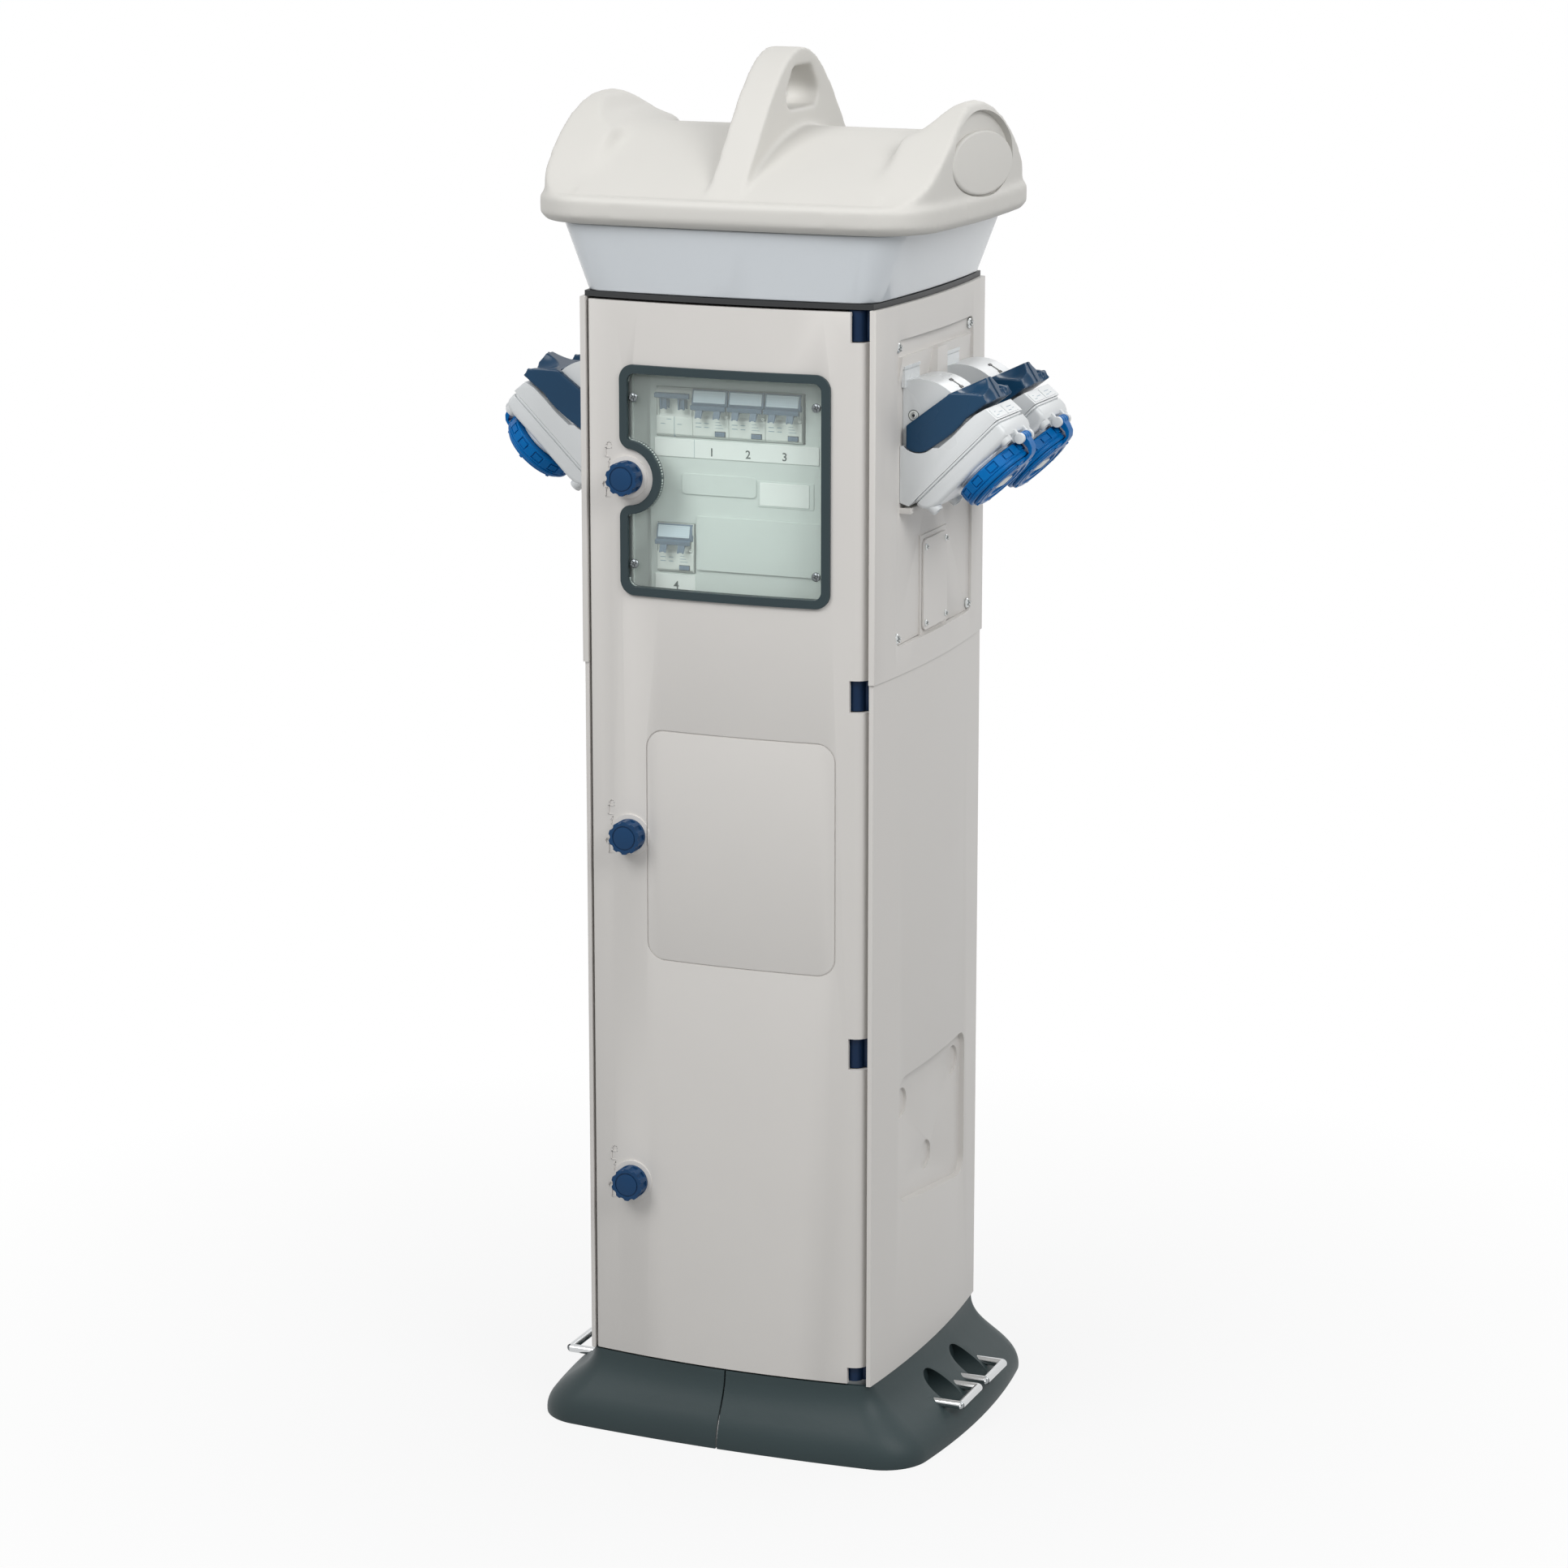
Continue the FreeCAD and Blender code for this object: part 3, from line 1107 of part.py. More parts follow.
def arch(x, long, half, foot, crest, rise_at):
    """A solid with one arched section along the lid's width, on a base that reaches down into the rim."""
    shares = [step / 8.0 for step in range(-8, 9)]
    points = [Vector(x, half * share, foot + (crest - foot) * rise_at(abs(share))) for share in shares]
    curve = Part.BSplineCurve()
    curve.interpolate(points)
    base = foot - val("rim_tall / 2")
    corners = [points[-1], Vector(x, half, base), Vector(x, -half, base), points[0]]
    sides = [Part.LineSegment(corners[i], corners[i + 1]).toShape() for i in range(3)]
    return Part.Face(Part.Wire([curve.toShape()] + sides)).extrude(Vector(long, 0, 0))


def bell(share):
    """How high an ear or the handle stands at a share of its half length."""
    return math.cos(math.pi / 2 * share) ** 1.3


def vault(share):
    return (1 - share ** 1.8) ** 1.1


def polygon(points, run):
    """A straight-sided solid from its corners, drawn along a run."""
    return Part.Face(Part.makePolygon(points + points[:1])).extrude(run)


def lid():
    wide, deep, corner = val("lid_wide / 2"), val("lid_deep / 2"), val("lid_corner")
    low = val("column_high + glass_rise + head_gap")
    high = val("column_high + glass_rise + rim_tall")
    crest, ear, top = high + val("vault_rise"), high + val("ear_rise"), high + val("handle_rise")
    wall = val("lid_wall")

    def plan(inset, z):
        return plan_wire(wide - inset, deep - inset, 10.0, 8.0, corner - inset, z)
    rim = loft([plan(6, low), plan(0, low + 7), plan(0, high - 4), plan(3, high)])
    column = Part.Face(plan(4, low + 5)).extrude(Vector(0, 0, top - low))
    ear_in = wide - 60
    solid = rim.fuse(arch(-ear_in - 6, 2 * ear_in + 12, deep - 10, high - 2, crest, vault))
    for side in (1, -1):
        corners = [(wide - 2, high - 10), (wide - 3, high), (wide - 5, high + 34),
                   (wide - 9, ear - 12), (wide - 13, ear - 3), (wide - 20, ear),
                   (wide - 28, ear - 4), (wide - 38, ear - 18), (wide - 50, crest + 2),
                   (ear_in, crest - 1), (ear_in, high - 10)]
        edge = polygon([Vector(side * x, -deep, z) for x, z in corners], Vector(0, 2 * deep, 0))
        start = ear_in if side > 0 else -wide
        solid = solid.fuse(arch(start, wide - ear_in, deep - 12, high - 2, ear,
                                bell).common(edge).common(column))

    thick = val("handle_thick")
    fin = arch(-thick / 2, thick, deep - 8, high - 4, top, bell)
    eye_high = top - val("eye_crown")
    eye_low = eye_high - val("eye_tall")
    half = val("eye_wide / 2")
    narrow = val("eye_wide / 2 - eye_tall * 0.8")
    eye = polygon([Vector(-thick, -half, eye_low), Vector(-thick, half, eye_low),
                   Vector(-thick, narrow, eye_high), Vector(-thick, -narrow, eye_high)],
                  Vector(2 * thick, 0, 0))
    long_edges = [edge for edge in eye.Edges if abs(edge.tangentAt(edge.FirstParameter).x) > 0.99]
    eye = eye.makeFillet(val("eye_round"), long_edges)
    seat = wide - val("glass_wide / 2") + 10
    inner = loft([plan(seat, low - 1), plan(seat, low + wall)]).fuse(
        loft([plan(wall + 4, low + wall), plan(wall + 4, high - 8)]))
    hollow = arch(-ear_in, 2 * ear_in, deep - 30, high - 8, crest - wall - 3, vault)
    solid = solid.fuse(fin.cut(eye)).cut(inner).cut(hollow)
    node(freeform("lid", solid), "lid")


column_walls()
inner_structure()
devices()
foot()
hooks()
door()
window()
knobs()
hinges()
side_frames()
sockets()
head()
doc.recompute()


def check_and_write():
    """Stops if anything failed, then writes each sub-part to its own file."""
    failed = [item.Label for item in doc.Objects if "Invalid" in item.State or "Error" in item.State]
    if failed:
        raise RuntimeError("failed objects: " + ", ".join(failed))
    bad = [item.Label for item in NODES
           if item.Shape.isNull() or not item.Shape.isValid() or not item.Shape.Solids]
    if bad:
        raise RuntimeError("bad shapes: " + ", ".join(bad))
    os.makedirs("parts", exist_ok=True)
    for item in NODES:
        item.Shape.exportStep(os.path.join("parts", item.Label + ".step"))
    print(len(NODES), "sub-parts written")


check_and_write()
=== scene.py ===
import json
import math

import bmesh
import bpy
from mathutils import Matrix, Vector

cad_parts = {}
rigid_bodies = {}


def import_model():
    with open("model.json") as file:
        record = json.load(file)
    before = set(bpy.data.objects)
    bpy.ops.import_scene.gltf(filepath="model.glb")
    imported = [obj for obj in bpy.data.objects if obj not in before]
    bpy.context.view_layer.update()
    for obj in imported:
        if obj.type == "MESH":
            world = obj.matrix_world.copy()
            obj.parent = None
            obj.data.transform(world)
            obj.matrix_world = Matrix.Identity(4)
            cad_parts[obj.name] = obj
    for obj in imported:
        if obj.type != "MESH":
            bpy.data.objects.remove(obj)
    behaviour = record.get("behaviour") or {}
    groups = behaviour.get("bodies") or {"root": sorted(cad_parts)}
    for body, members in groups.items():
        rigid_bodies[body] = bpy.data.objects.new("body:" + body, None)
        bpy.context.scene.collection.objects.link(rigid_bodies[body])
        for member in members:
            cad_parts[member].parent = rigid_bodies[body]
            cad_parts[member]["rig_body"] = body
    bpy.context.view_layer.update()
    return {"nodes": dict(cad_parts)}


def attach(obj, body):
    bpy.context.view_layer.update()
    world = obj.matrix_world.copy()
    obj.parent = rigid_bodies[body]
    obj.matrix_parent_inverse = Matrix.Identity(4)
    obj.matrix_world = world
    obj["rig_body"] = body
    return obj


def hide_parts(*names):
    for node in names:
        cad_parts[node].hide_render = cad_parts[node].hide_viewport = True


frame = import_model()
NODES = frame["nodes"]
MM = 0.001
HERE = Matrix()
GROW = Matrix.Diagonal((1 / MM, 1 / MM, 1 / MM, 1))
# Edges are shaded sharp or rounded from these angles. A turned profile ends at the radius TIP, by its axis
SMOOTH_ANGLE, BEVEL_ANGLE, SHARP_BEVELLED = 35.0, 32.0, 60.0
TIP = 0.01

# Driving sizes in millimetres, as in the part's source
COLUMN_HALF_WIDE, COLUMN_HALF_DEEP = 150.0, 152.0
SIDE_BOW, FACE_BOW = 8.0, 11.0
KNOB_X, KNOB_Z, KNOB_PITCH = -94.5, 912.0, 334.0
WINDOW_LOW, WINDOW_HIGH = 803.5, 1015.0
DEVICE_FACE, MODULE, ROW_TOP, ROW_PITCH, DEVICE_LEFT = 122.0, 17.8, 970.0, 125.0, -76.0
DEVICE_WIDE, ROW_LOW = 2 * MODULE, ROW_TOP - ROW_PITCH
BOARD_Y, NOSE_Y = -DEVICE_FACE, -DEVICE_FACE - 3
OPENING_LOW, OPENING_HIGH, PANEL_FACE = 763.0, 1042.0, 145.0
SOCKET_PITCH, SOCKET_HALF, PIVOT_OUT, PIVOT_HIGH = 104.0, 34.0, 162.0, 960.0
DRUM_RADIUS, DRUM_HALF, WALL_X = 46.0, 27.0, -16.7
COVER_ANGLE, COVER_X, COVER_Z, COVER_THICK = 45.0, -8.2, -69.0, 18.0
COVER_LOW, COVER_END = 6.0, 117.0
RING_ALONG, RING_RADIUS, RING_LONG, PLUG_BORE = 71.5, 36.5, 15.0, 23.0
RING_BACK = -COVER_THICK - 4.0
FLAP_BACK = RING_BACK - RING_LONG - 0.3
HINGE_ALONG, HINGE_OUT = RING_ALONG + RING_RADIUS + 6.5, -COVER_THICK - 5.2
TOWERS = [(x, y) for x in (COVER_END - 8.5, 15.5) for y in (-26.5, 26.5)]
PADS, LEVER_CELL, LEVER_ROUNDS = 24, 0.9, 4
LID_FOOT, LID_HALF = 1166.0, 198.0


# Materials
CLOUD_PITCH = 140.0
DOT_PITCH = 2.1


def linear(text):
    """A written sRGB colour as the linear values a shader takes."""
    values = [int(text[i:i + 2], 16) / 255 for i in (0, 2, 4)]
    return tuple(v / 12.92 if v <= 0.04045 else ((v + 0.055) / 1.055) ** 2.4 for v in values) + (1.0,)


def add(mat, kind, links=(), **settings):
    """Adds one shader node, sets its properties and inputs, and links outputs into it."""
    item = mat.node_tree.nodes.new(kind)
    for key, value in settings.items():
        if hasattr(item, key):
            setattr(item, key, value)
        else:
            item.inputs[key.replace("_", " ")].default_value = value
    for socket, source in links:
        mat.node_tree.links.new(source, item.inputs[socket])
    return item


def material(name):
    """An empty node material."""
    mat = bpy.data.materials.new(name)
    mat.use_nodes = True
    mat.node_tree.nodes.clear()
    return mat


def surface(name, colour, rough, grain=0.8, relief=0.03, mottle=0.015, uneven=0.05, metal=0.0, coat=0.0,
            shine=0.5):
    """A moulded, cast or rolled surface. grain is the texture's pitch and relief its height, both in mm."""
    mat = material(name)
    place = add(mat, "ShaderNodeTexCoord").outputs["Object"]
    cloud = add(mat, "ShaderNodeTexNoise", [("Vector", place)], Scale=1000 / CLOUD_PITCH, Detail=4.0,
                Roughness=0.6)
    fine = add(mat, "ShaderNodeTexNoise", [("Vector", place)], Scale=1000 / grain, Detail=2.0, Roughness=0.5)
    base = linear(colour)
    tint = add(mat, "ShaderNodeValToRGB", [("Fac", cloud.outputs["Fac"])])
    for element, at, sign in zip(tint.color_ramp.elements, (0.3, 0.7), (-1, 1)):
        element.position = at
        element.color = tuple(min(1, v * (1 + sign * mottle)) for v in base[:3]) + (1,)
    dull = add(mat, "ShaderNodeMapRange", [("Value", cloud.outputs["Fac"])], From_Min=0.25, From_Max=0.75,
               To_Min=max(0.02, rough - uneven), To_Max=rough + uneven)
    bump = add(mat, "ShaderNodeBump", [("Height", fine.outputs["Fac"])], Strength=1.0, Distance=relief * MM)
    shader = add(mat, "ShaderNodeBsdfPrincipled", [("Base Color", tint.outputs["Color"]),
                                                   ("Roughness", dull.outputs["Result"]),
                                                   ("Normal", bump.outputs["Normal"])])
    shader.inputs["Metallic"].default_value = metal
    shader.inputs["Coat Weight"].default_value = coat
    shader.inputs["Specular IOR Level"].default_value = shine
    add(mat, "ShaderNodeOutputMaterial", [("Surface", shader.outputs["BSDF"])])
    return mat


M = {
    # Injection-moulded polycarbonate blend with a satin spark texture: soft broad highlights, no sheen
    "column": surface("column_polycarbonate", "D0CDC9", 0.42, 0.9, 0.012, 0.010),
    # Rotation-moulded polyethylene: a matt skin with a coarse sandy grain, drawn at 1.1 mm so that it shows
    "lid": surface("lid_polyethylene", "CAC8C3", 0.58, 1.1, 0.05, 0.015),
    # Glossier moulded thermoplastic: smooth, cool white, with sharper highlights
    "socket": surface("socket_thermoplastic", "D5D8D9", 0.3, 1.2, 0.006, 0.008),
    # Tinted glass-filled nylon: smooth dark blue with a satin gloss
    "lever": surface("lever_nylon", "183E5C", 0.3, 1.0, 0.008, 0.04, shine=0.25),
    "knob": surface("knob_nylon", "153C62", 0.34, 0.9, 0.012, 0.04, shine=0.2),
    "hinge": surface("hinge_nylon", "0C2644", 0.38, 0.9, 0.012, 0.05, shine=0.2),
    # Bright pigmented polycarbonate of the plug rings and lids: glossy and even
    "ring": surface("ring_polycarbonate", "0064A8", 0.3, 1.2, 0.008, 0.03, shine=0.12),
    "insert": surface("insert_polycarbonate", "004C90", 0.36, 1.0, 0.01, 0.04, shine=0.25),
    # Extruded rubber: dark slate, satin, faint die lines
    "gasket": surface("gasket_rubber", "2C3A3E", 0.34, 0.8, 0.012, 0.04, shine=0.3),
    # Foamed rubber strip: matt black with open pores of about 1.2 mm
    "seal": surface("seal_foam", "1C1C1E", 0.85, 1.2, 0.2, 0.1),
    # Structural foam moulding: dark slate grey with a leathery grain of about 1.4 mm
    "foot": surface("foot_structural_foam", "2D3A3C", 0.48, 1.4, 0.03, 0.05, shine=0.3),
    # Stainless bar, polished: bright, sharp and slightly uneven reflections
    "bar": surface("polished_stainless", "CDCFD0", 0.12, 2.0, 0.003, 0.02, 0.03, metal=1.0),
    # Zinc-plated steel of the screws: bright with a fine haze
    "screw": surface("zinc_plated_steel", "C2C5C5", 0.22, 0.8, 0.01, 0.04, 0.06, metal=1.0),
    # Steel of the screws in the window and the covers, darker: painted shade of the recesses they sit in, the
    # same haze
    "dark_screw": surface("shade_darkened_steel", "777C7E", 0.28, 0.8, 0.01, 0.04, 0.06, metal=1.0),
    # Powder-painted sheet of the door stop and the posts: pale grey, orange-peel of about 1.5 mm
    "painted": surface("painted_sheet", "CDCFCC", 0.4, 1.5, 0.02, 0.015),
    # Hot-dipped galvanised sheet: grey, spangle of about 9 mm shown by its uneven gloss
    "steel": surface("galvanised_sheet", "A9AEB0", 0.42, 9.0, 0.02, 0.12, 0.1, metal=1.0),
    # Moulded device housings: pale warm white, fine texture
    "device": surface("device_polyamide", "E1E4E0", 0.42, 0.7, 0.012, 0.012),
    # Tinted polyamide of handles, frames and test buttons: slate blue, satin
    "toggle": surface("toggle_polyamide", "50657B", 0.33, 0.8, 0.01, 0.04),
    "slate": surface("slate_polyamide", "5C7087", 0.4, 0.8, 0.01, 0.04),
    # Thermoformed cover board and its card strips: cool pale grey and white, both matt
    "board": surface("board_polystyrene", "D4DAD7", 0.5, 0.9, 0.012, 0.012),
    "strip": surface("label_card", "F0F2F0", 0.6, 0.6, 0.01, 0.01),
    # Screen-printed ink: flat and matt
    "ink": surface("printed_ink", "2E3735", 0.6, 0.6, 0.005, 0.02),
    "pale_ink": surface("printed_pale_ink", "8FA3AE", 0.6, 0.6, 0.005, 0.02),
    # Filled polyamide of glands, marks and terminals: dark, dull
    "black": surface("black_polyamide", "1C1E20", 0.45, 0.9, 0.02, 0.08),
    "grey": surface("grey_polyamide", "7C8284", 0.45, 0.9, 0.02, 0.05),
    # Painted shade: a dark stand-in for the bottom of narrow slots and bores, where hardly any light comes
    "slot": surface("shadowed_slot", "262B2F", 0.7, 0.9, 0.01, 0.1),
    # Frosted lamp glass: white and smooth
    "lampware": surface("lamp_glass", "EEF0EF", 0.25, 1.5, 0.004, 0.01),
}


def shader_of(mat):
    """The shader that a surface was given."""
    return next(node for node in mat.node_tree.nodes if node.type == "BSDF_PRINCIPLED")


def opal():
    """Opal acrylic of the light ring: milky, glossy, light spreads below the surface."""
    mat = surface("opal_acrylic", "CACFD3", 0.2, 2.0, 0.003, 0.008, coat=0.3)
    shader = shader_of(mat)
    shader.inputs["Subsurface Weight"].default_value = 0.25
    shader.inputs["Subsurface Radius"].default_value = (0.02, 0.02, 0.02)
    return mat


def dotted():
    """Clear label covers over dotted card: pale blue with a square grid of darker dots."""
    mat = surface("dotted_cover", "CBD8E2", 0.22, 1.5, 0.004, 0.01, coat=0.2)
    shader = shader_of(mat)
    tint = shader.inputs["Base Color"].links[0].from_socket
    place = add(mat, "ShaderNodeTexCoord").outputs["Object"]
    axes = add(mat, "ShaderNodeSeparateXYZ", [(0, place)]).outputs
    waves = []
    for axis in ("X", "Z"):
        turn = add(mat, "ShaderNodeMath", [(0, axes[axis])], operation="MULTIPLY")
        turn.inputs[1].default_value = 2 * math.pi / (DOT_PITCH * MM)
        waves.append(add(mat, "ShaderNodeMath", [(0, turn.outputs[0])], operation="COSINE").outputs[0])
    peak = add(mat, "ShaderNodeMath", [(0, waves[0]), (1, waves[1])], operation="ADD")
    dot = add(mat, "ShaderNodeMapRange", [("Value", peak.outputs[0])], From_Min=1.1, From_Max=1.6)
    mix = add(mat, "ShaderNodeMix", [("Factor", dot.outputs[0])], data_type="RGBA")
    mat.node_tree.links.new(tint, mix.inputs[6])
    mix.inputs[7].default_value = linear("9AAFC4")
    mat.node_tree.links.new(mix.outputs[2], shader.inputs["Base Color"])
    return mat


def clear():
    """Clear polycarbonate sheet with a faint green cast: see-through, with a plain gloss on its face."""
    mat = material("clear_polycarbonate")
    place = add(mat, "ShaderNodeTexCoord").outputs["Object"]
    cloud = add(mat, "ShaderNodeTexNoise", [("Vector", place)], Scale=1000 / 200, Detail=2.0)
    dull = add(mat, "ShaderNodeMapRange", [("Value", cloud.outputs["Fac"])], To_Min=0.06, To_Max=0.1)
    through = add(mat, "ShaderNodeBsdfTransparent", Color=linear("FBFDFC"))
    gloss = add(mat, "ShaderNodeBsdfPrincipled", [("Roughness", dull.outputs["Result"])])
    gloss.inputs["Base Color"].default_value = linear("E2E9E6")
    edge = add(mat, "ShaderNodeFresnel", IOR=1.45)
    share = add(mat, "ShaderNodeMapRange", [("Value", edge.outputs["Fac"])], To_Min=0.07, To_Max=0.8)
    rays = add(mat, "ShaderNodeLightPath")
    seen = add(mat, "ShaderNodeMath", [(1, rays.outputs["Is Shadow Ray"])], operation="SUBTRACT")
    seen.inputs[0].default_value = 1.0
    part = add(mat, "ShaderNodeMath", [(0, share.outputs[0]), (1, seen.outputs[0])], operation="MULTIPLY")
    both = add(mat, "ShaderNodeMixShader", [(0, part.outputs[0]), (1, through.outputs["BSDF"]),
                                            (2, gloss.outputs["BSDF"])])
    add(mat, "ShaderNodeOutputMaterial", [("Surface", both.outputs["Shader"])])
    return mat


M["opal"] = opal()
M["dots"] = dotted()
M["pane"] = clear()


# Making pieces: a piece is drawn in millimetres and becomes metres when it is finished
def block(work, x, y, z, place=HERE):
    """A box between limits, moved by a matrix."""
    size = Vector((x[1] - x[0], y[1] - y[0], z[1] - z[0]))
    middle = Vector((sum(x), sum(y), sum(z))) / 2
    shape = place @ Matrix.Translation(middle) @ Matrix.Diagonal(size.to_4d())
    bmesh.ops.create_cube(work, size=1, matrix=shape)


def slab(work, corners, run, soft=0.0, place=HERE):
    """A flat outline with its corners rounded, pulled into a solid along a direction."""
    old = set(work.faces)
    verts = [work.verts.new(place @ Vector(corner)) for corner in corners]
    work.faces.new(verts)
    if soft:
        bmesh.ops.bevel(work, geom=verts, offset=soft, offset_type="OFFSET", segments=5, profile=0.5,
                        affect="VERTICES", material=-1, clamp_overlap=True)
    flat = [face for face in work.faces if face not in old]
    grown = bmesh.ops.extrude_face_region(work, geom=flat)["geom"]
    moved = [item for item in grown if isinstance(item, bmesh.types.BMVert)]
    bmesh.ops.translate(work, verts=moved, vec=place.to_3x3() @ Vector(run))


def plate(work, x, z, y, thick, soft):
    """A thin plate lying against the device board, facing the front."""
    corners = [(x[0], y, z[0]), (x[1], y, z[0]), (x[1], y, z[1]), (x[0], y, z[1])]
    slab(work, corners, (0, -thick, 0), soft)


def turned(work, profile, centre=(0, 0, 0), axis=(0, 0, 1), steps=48, closed=False):
    """A turned form: the profile gives distance along the axis and radius. An end at TIP leaves a pinhole."""
    way = Vector(axis).normalized()
    side = way.orthogonal().normalized()
    spots = [Vector(centre) + way * along + side * radius for along, radius in profile]
    verts = [work.verts.new(spot) for spot in spots]
    pairs = list(zip(verts, verts[1:])) + ([(verts[-1], verts[0])] if closed else [])
    edges = [work.edges.new(pair) for pair in pairs]
    bmesh.ops.spin(work, geom=verts + edges, cent=centre, axis=way, angle=2 * math.pi, steps=steps,
                   use_merge=True)


def wrap(name, work, mat, body, replaces=(), bevel=0.0, segments=2):
    """Finishes a drawn piece: scale, normals, shading, edge rounding, body and what it replaces."""
    bmesh.ops.remove_doubles(work, verts=work.verts, dist=0.002)
    bmesh.ops.recalc_face_normals(work, faces=work.faces)
    bmesh.ops.scale(work, vec=(MM, MM, MM), verts=work.verts)
    mesh = bpy.data.meshes.new(name)
    work.to_mesh(mesh)
    work.free()
    return finish_piece(name, mesh, mat, body, replaces, bevel, segments)


def finish_piece(name, mesh, mat, body, replaces=(), bevel=0.0, segments=2):
    """Makes a mesh a piece of the scene, with its material, shading, edge rounding and body."""
    obj = bpy.data.objects.new(name, mesh)
    bpy.context.scene.collection.objects.link(obj)
    mesh.materials.clear()
    mesh.materials.append(mat)
    mesh.shade_smooth()
    mesh.set_sharp_from_angle(angle=math.radians(SMOOTH_ANGLE))
    if bevel:
        step = obj.modifiers.new("round", "BEVEL")
        step.width = bevel * MM
        step.segments = segments
        step.limit_method = "ANGLE"
        step.angle_limit = math.radians(BEVEL_ANGLE)
        mesh.set_sharp_from_angle(angle=math.radians(SHARP_BEVELLED))
    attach(obj, body)
    if replaces:
        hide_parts(*([replaces] if isinstance(replaces, str) else replaces))
    return obj


def copy_of(node, turn=0.6):
    """A copy of a solid's mesh, merged and with its flat faces joined."""
    mesh = NODES[node].data.copy()
    work = bmesh.new()
    work.from_mesh(mesh)
    bmesh.ops.remove_doubles(work, verts=work.verts, dist=1e-5)
    if turn:
        bmesh.ops.dissolve_limit(work, angle_limit=math.radians(turn), verts=work.verts, edges=work.edges)
    work.to_mesh(mesh)
    work.free()
    return mesh


def clone(node, mat, bevel, segments=2):
    """The solid itself with its edges rounded."""
    finish_piece(node + "_moulded", copy_of(node), mat, NODES[node]["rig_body"], node, bevel, segments)


def bake(obj):
    """Applies an object's modifiers to its mesh."""
    mesh = bpy.data.meshes.new_from_object(obj.evaluated_get(bpy.context.evaluated_depsgraph_get()))
    obj.modifiers.clear()
    obj.data = mesh
    mesh.shade_smooth()
    return obj


def softened(obj, voxel, rounds):
    """Remeshes a piece to even cells and relaxes them, which rounds its edges and joins its parts."""
    skin = obj.modifiers.new("skin", "REMESH")
    skin.mode = "VOXEL"
    skin.voxel_size = voxel * MM
    relax = obj.modifiers.new("relax", "SMOOTH")
    relax.factor = 0.5
    relax.iterations = rounds
    bake(obj)


def carve(obj, tool):
    """Cuts one drawn piece out of another."""
    step = obj.modifiers.new("carve", "BOOLEAN")
    step.object = tool
    step.solver = "EXACT"
    bake(obj)
    bpy.data.objects.remove(tool)
    obj.data.set_sharp_from_angle(angle=math.radians(SMOOTH_ANGLE))
    return obj


def joined(first, second):
    """Adds one drawn piece's shells to another's."""
    work = bmesh.new()
    work.from_mesh(first.data)
    work.from_mesh(second.data)
    work.to_mesh(first.data)
    work.free()
    bpy.data.objects.remove(second)
    return first


def placed(obj, place):
    """A copy of a drawn piece's mesh, moved by a matrix that is written in millimetres."""
    mesh = obj.data.copy()
    mesh.transform(GROW.inverted() @ place @ GROW)
    return mesh


def spread(obj, name, place, replaces=()):
    """Four copies of a drawn piece, one at each socket, as one piece."""
    work = bmesh.new()
    for index in range(1, 5):
        one = placed(obj, place(index))
        work.from_mesh(one)
        bpy.data.meshes.remove(one)
    mat = obj.data.materials[0]
    bpy.data.objects.remove(obj)
    mesh = bpy.data.meshes.new(name)
    work.to_mesh(mesh)
    work.free()
    return finish_piece(name, mesh, mat, "column", replaces)


def four(obj, name, place, body, replaces=None, bevel=0.0):
    """One copy of a drawn piece at each socket, each riding on its own body."""
    mat = obj.data.materials[0]
    for index in range(1, 5):
        instead = [replaces % index] if replaces else ()
        finish_piece(name % index, placed(obj, place(index)), mat, body % index, instead, bevel)
    bpy.data.objects.remove(obj)


def paint(node, mat):
    """Gives a solid that shows as it is its material."""
    slots = NODES[node].data.materials
    slots.clear()
    slots.append(mat)


def face_y(x, grow=0.0):
    """The front's bowed face at a place across."""
    return -(COLUMN_HALF_DEEP + grow - FACE_BOW * (x / (COLUMN_HALF_WIDE + grow - SIDE_BOW)) ** 2)


# Camera and light, in metres and watts
WORLD_LIGHT, FLOOR_HALF = 0.32, 6
LAMPS = [("key", (-1.1, -2.1, 2.9), (0, 0, 1.0), (1.6, 1.6), 57),
         ("fill", (2.1, -1.2, 2.5), (0, 0, 1.1), (1.4, 1.4), 45),
         ("top", (0.3, 0.0, 3.2), (0, 0, 1.2), (1.6, 1.6), 2.5),
         ("back", (0.8, 2.6, 2.6), (0, 0, 0.8), (2.4, 1.2), 20)]


def camera():
    """The view of the photograph, fitted to the column's straight edges."""
    data = bpy.data.cameras.new("camera")
    obj = bpy.data.objects.new("camera", data)
    bpy.context.scene.collection.objects.link(obj)
    data.sensor_width = 36.0
    data.lens = 102.05
    data.shift_y = -0.05
    obj.location = (1.5406, -3.7792, 1.5699)
    obj.rotation_euler = (math.radians(90 - 12.332), 0, math.radians(22.206))
    bpy.context.scene.camera = obj


def lamp(name, place, aim, size, power):
    """A soft box: a rectangular area lamp that faces a point."""
    data = bpy.data.lights.new(name, "AREA")
    data.shape = "RECTANGLE"
    data.size, data.size_y = size
    data.energy = power
    obj = bpy.data.objects.new(name, data)
    obj.location = place
    obj.rotation_euler = (Vector(aim) - Vector(place)).to_track_quat("-Z", "Y").to_euler()
    bpy.context.scene.collection.objects.link(obj)


def seen_white(owner):
    """One for the rays that see the studio as plain white: from the camera, off a gloss or through the pane."""
    rays = add(owner, "ShaderNodeLightPath").outputs
    seen = rays["Is Camera Ray"]
    for kind in ("Is Glossy Ray", "Is Transmission Ray"):
        total = add(owner, "ShaderNodeMath", [(0, seen), (1, rays[kind])], operation="ADD", use_clamp=True)
        seen = total.outputs[0]
    return seen


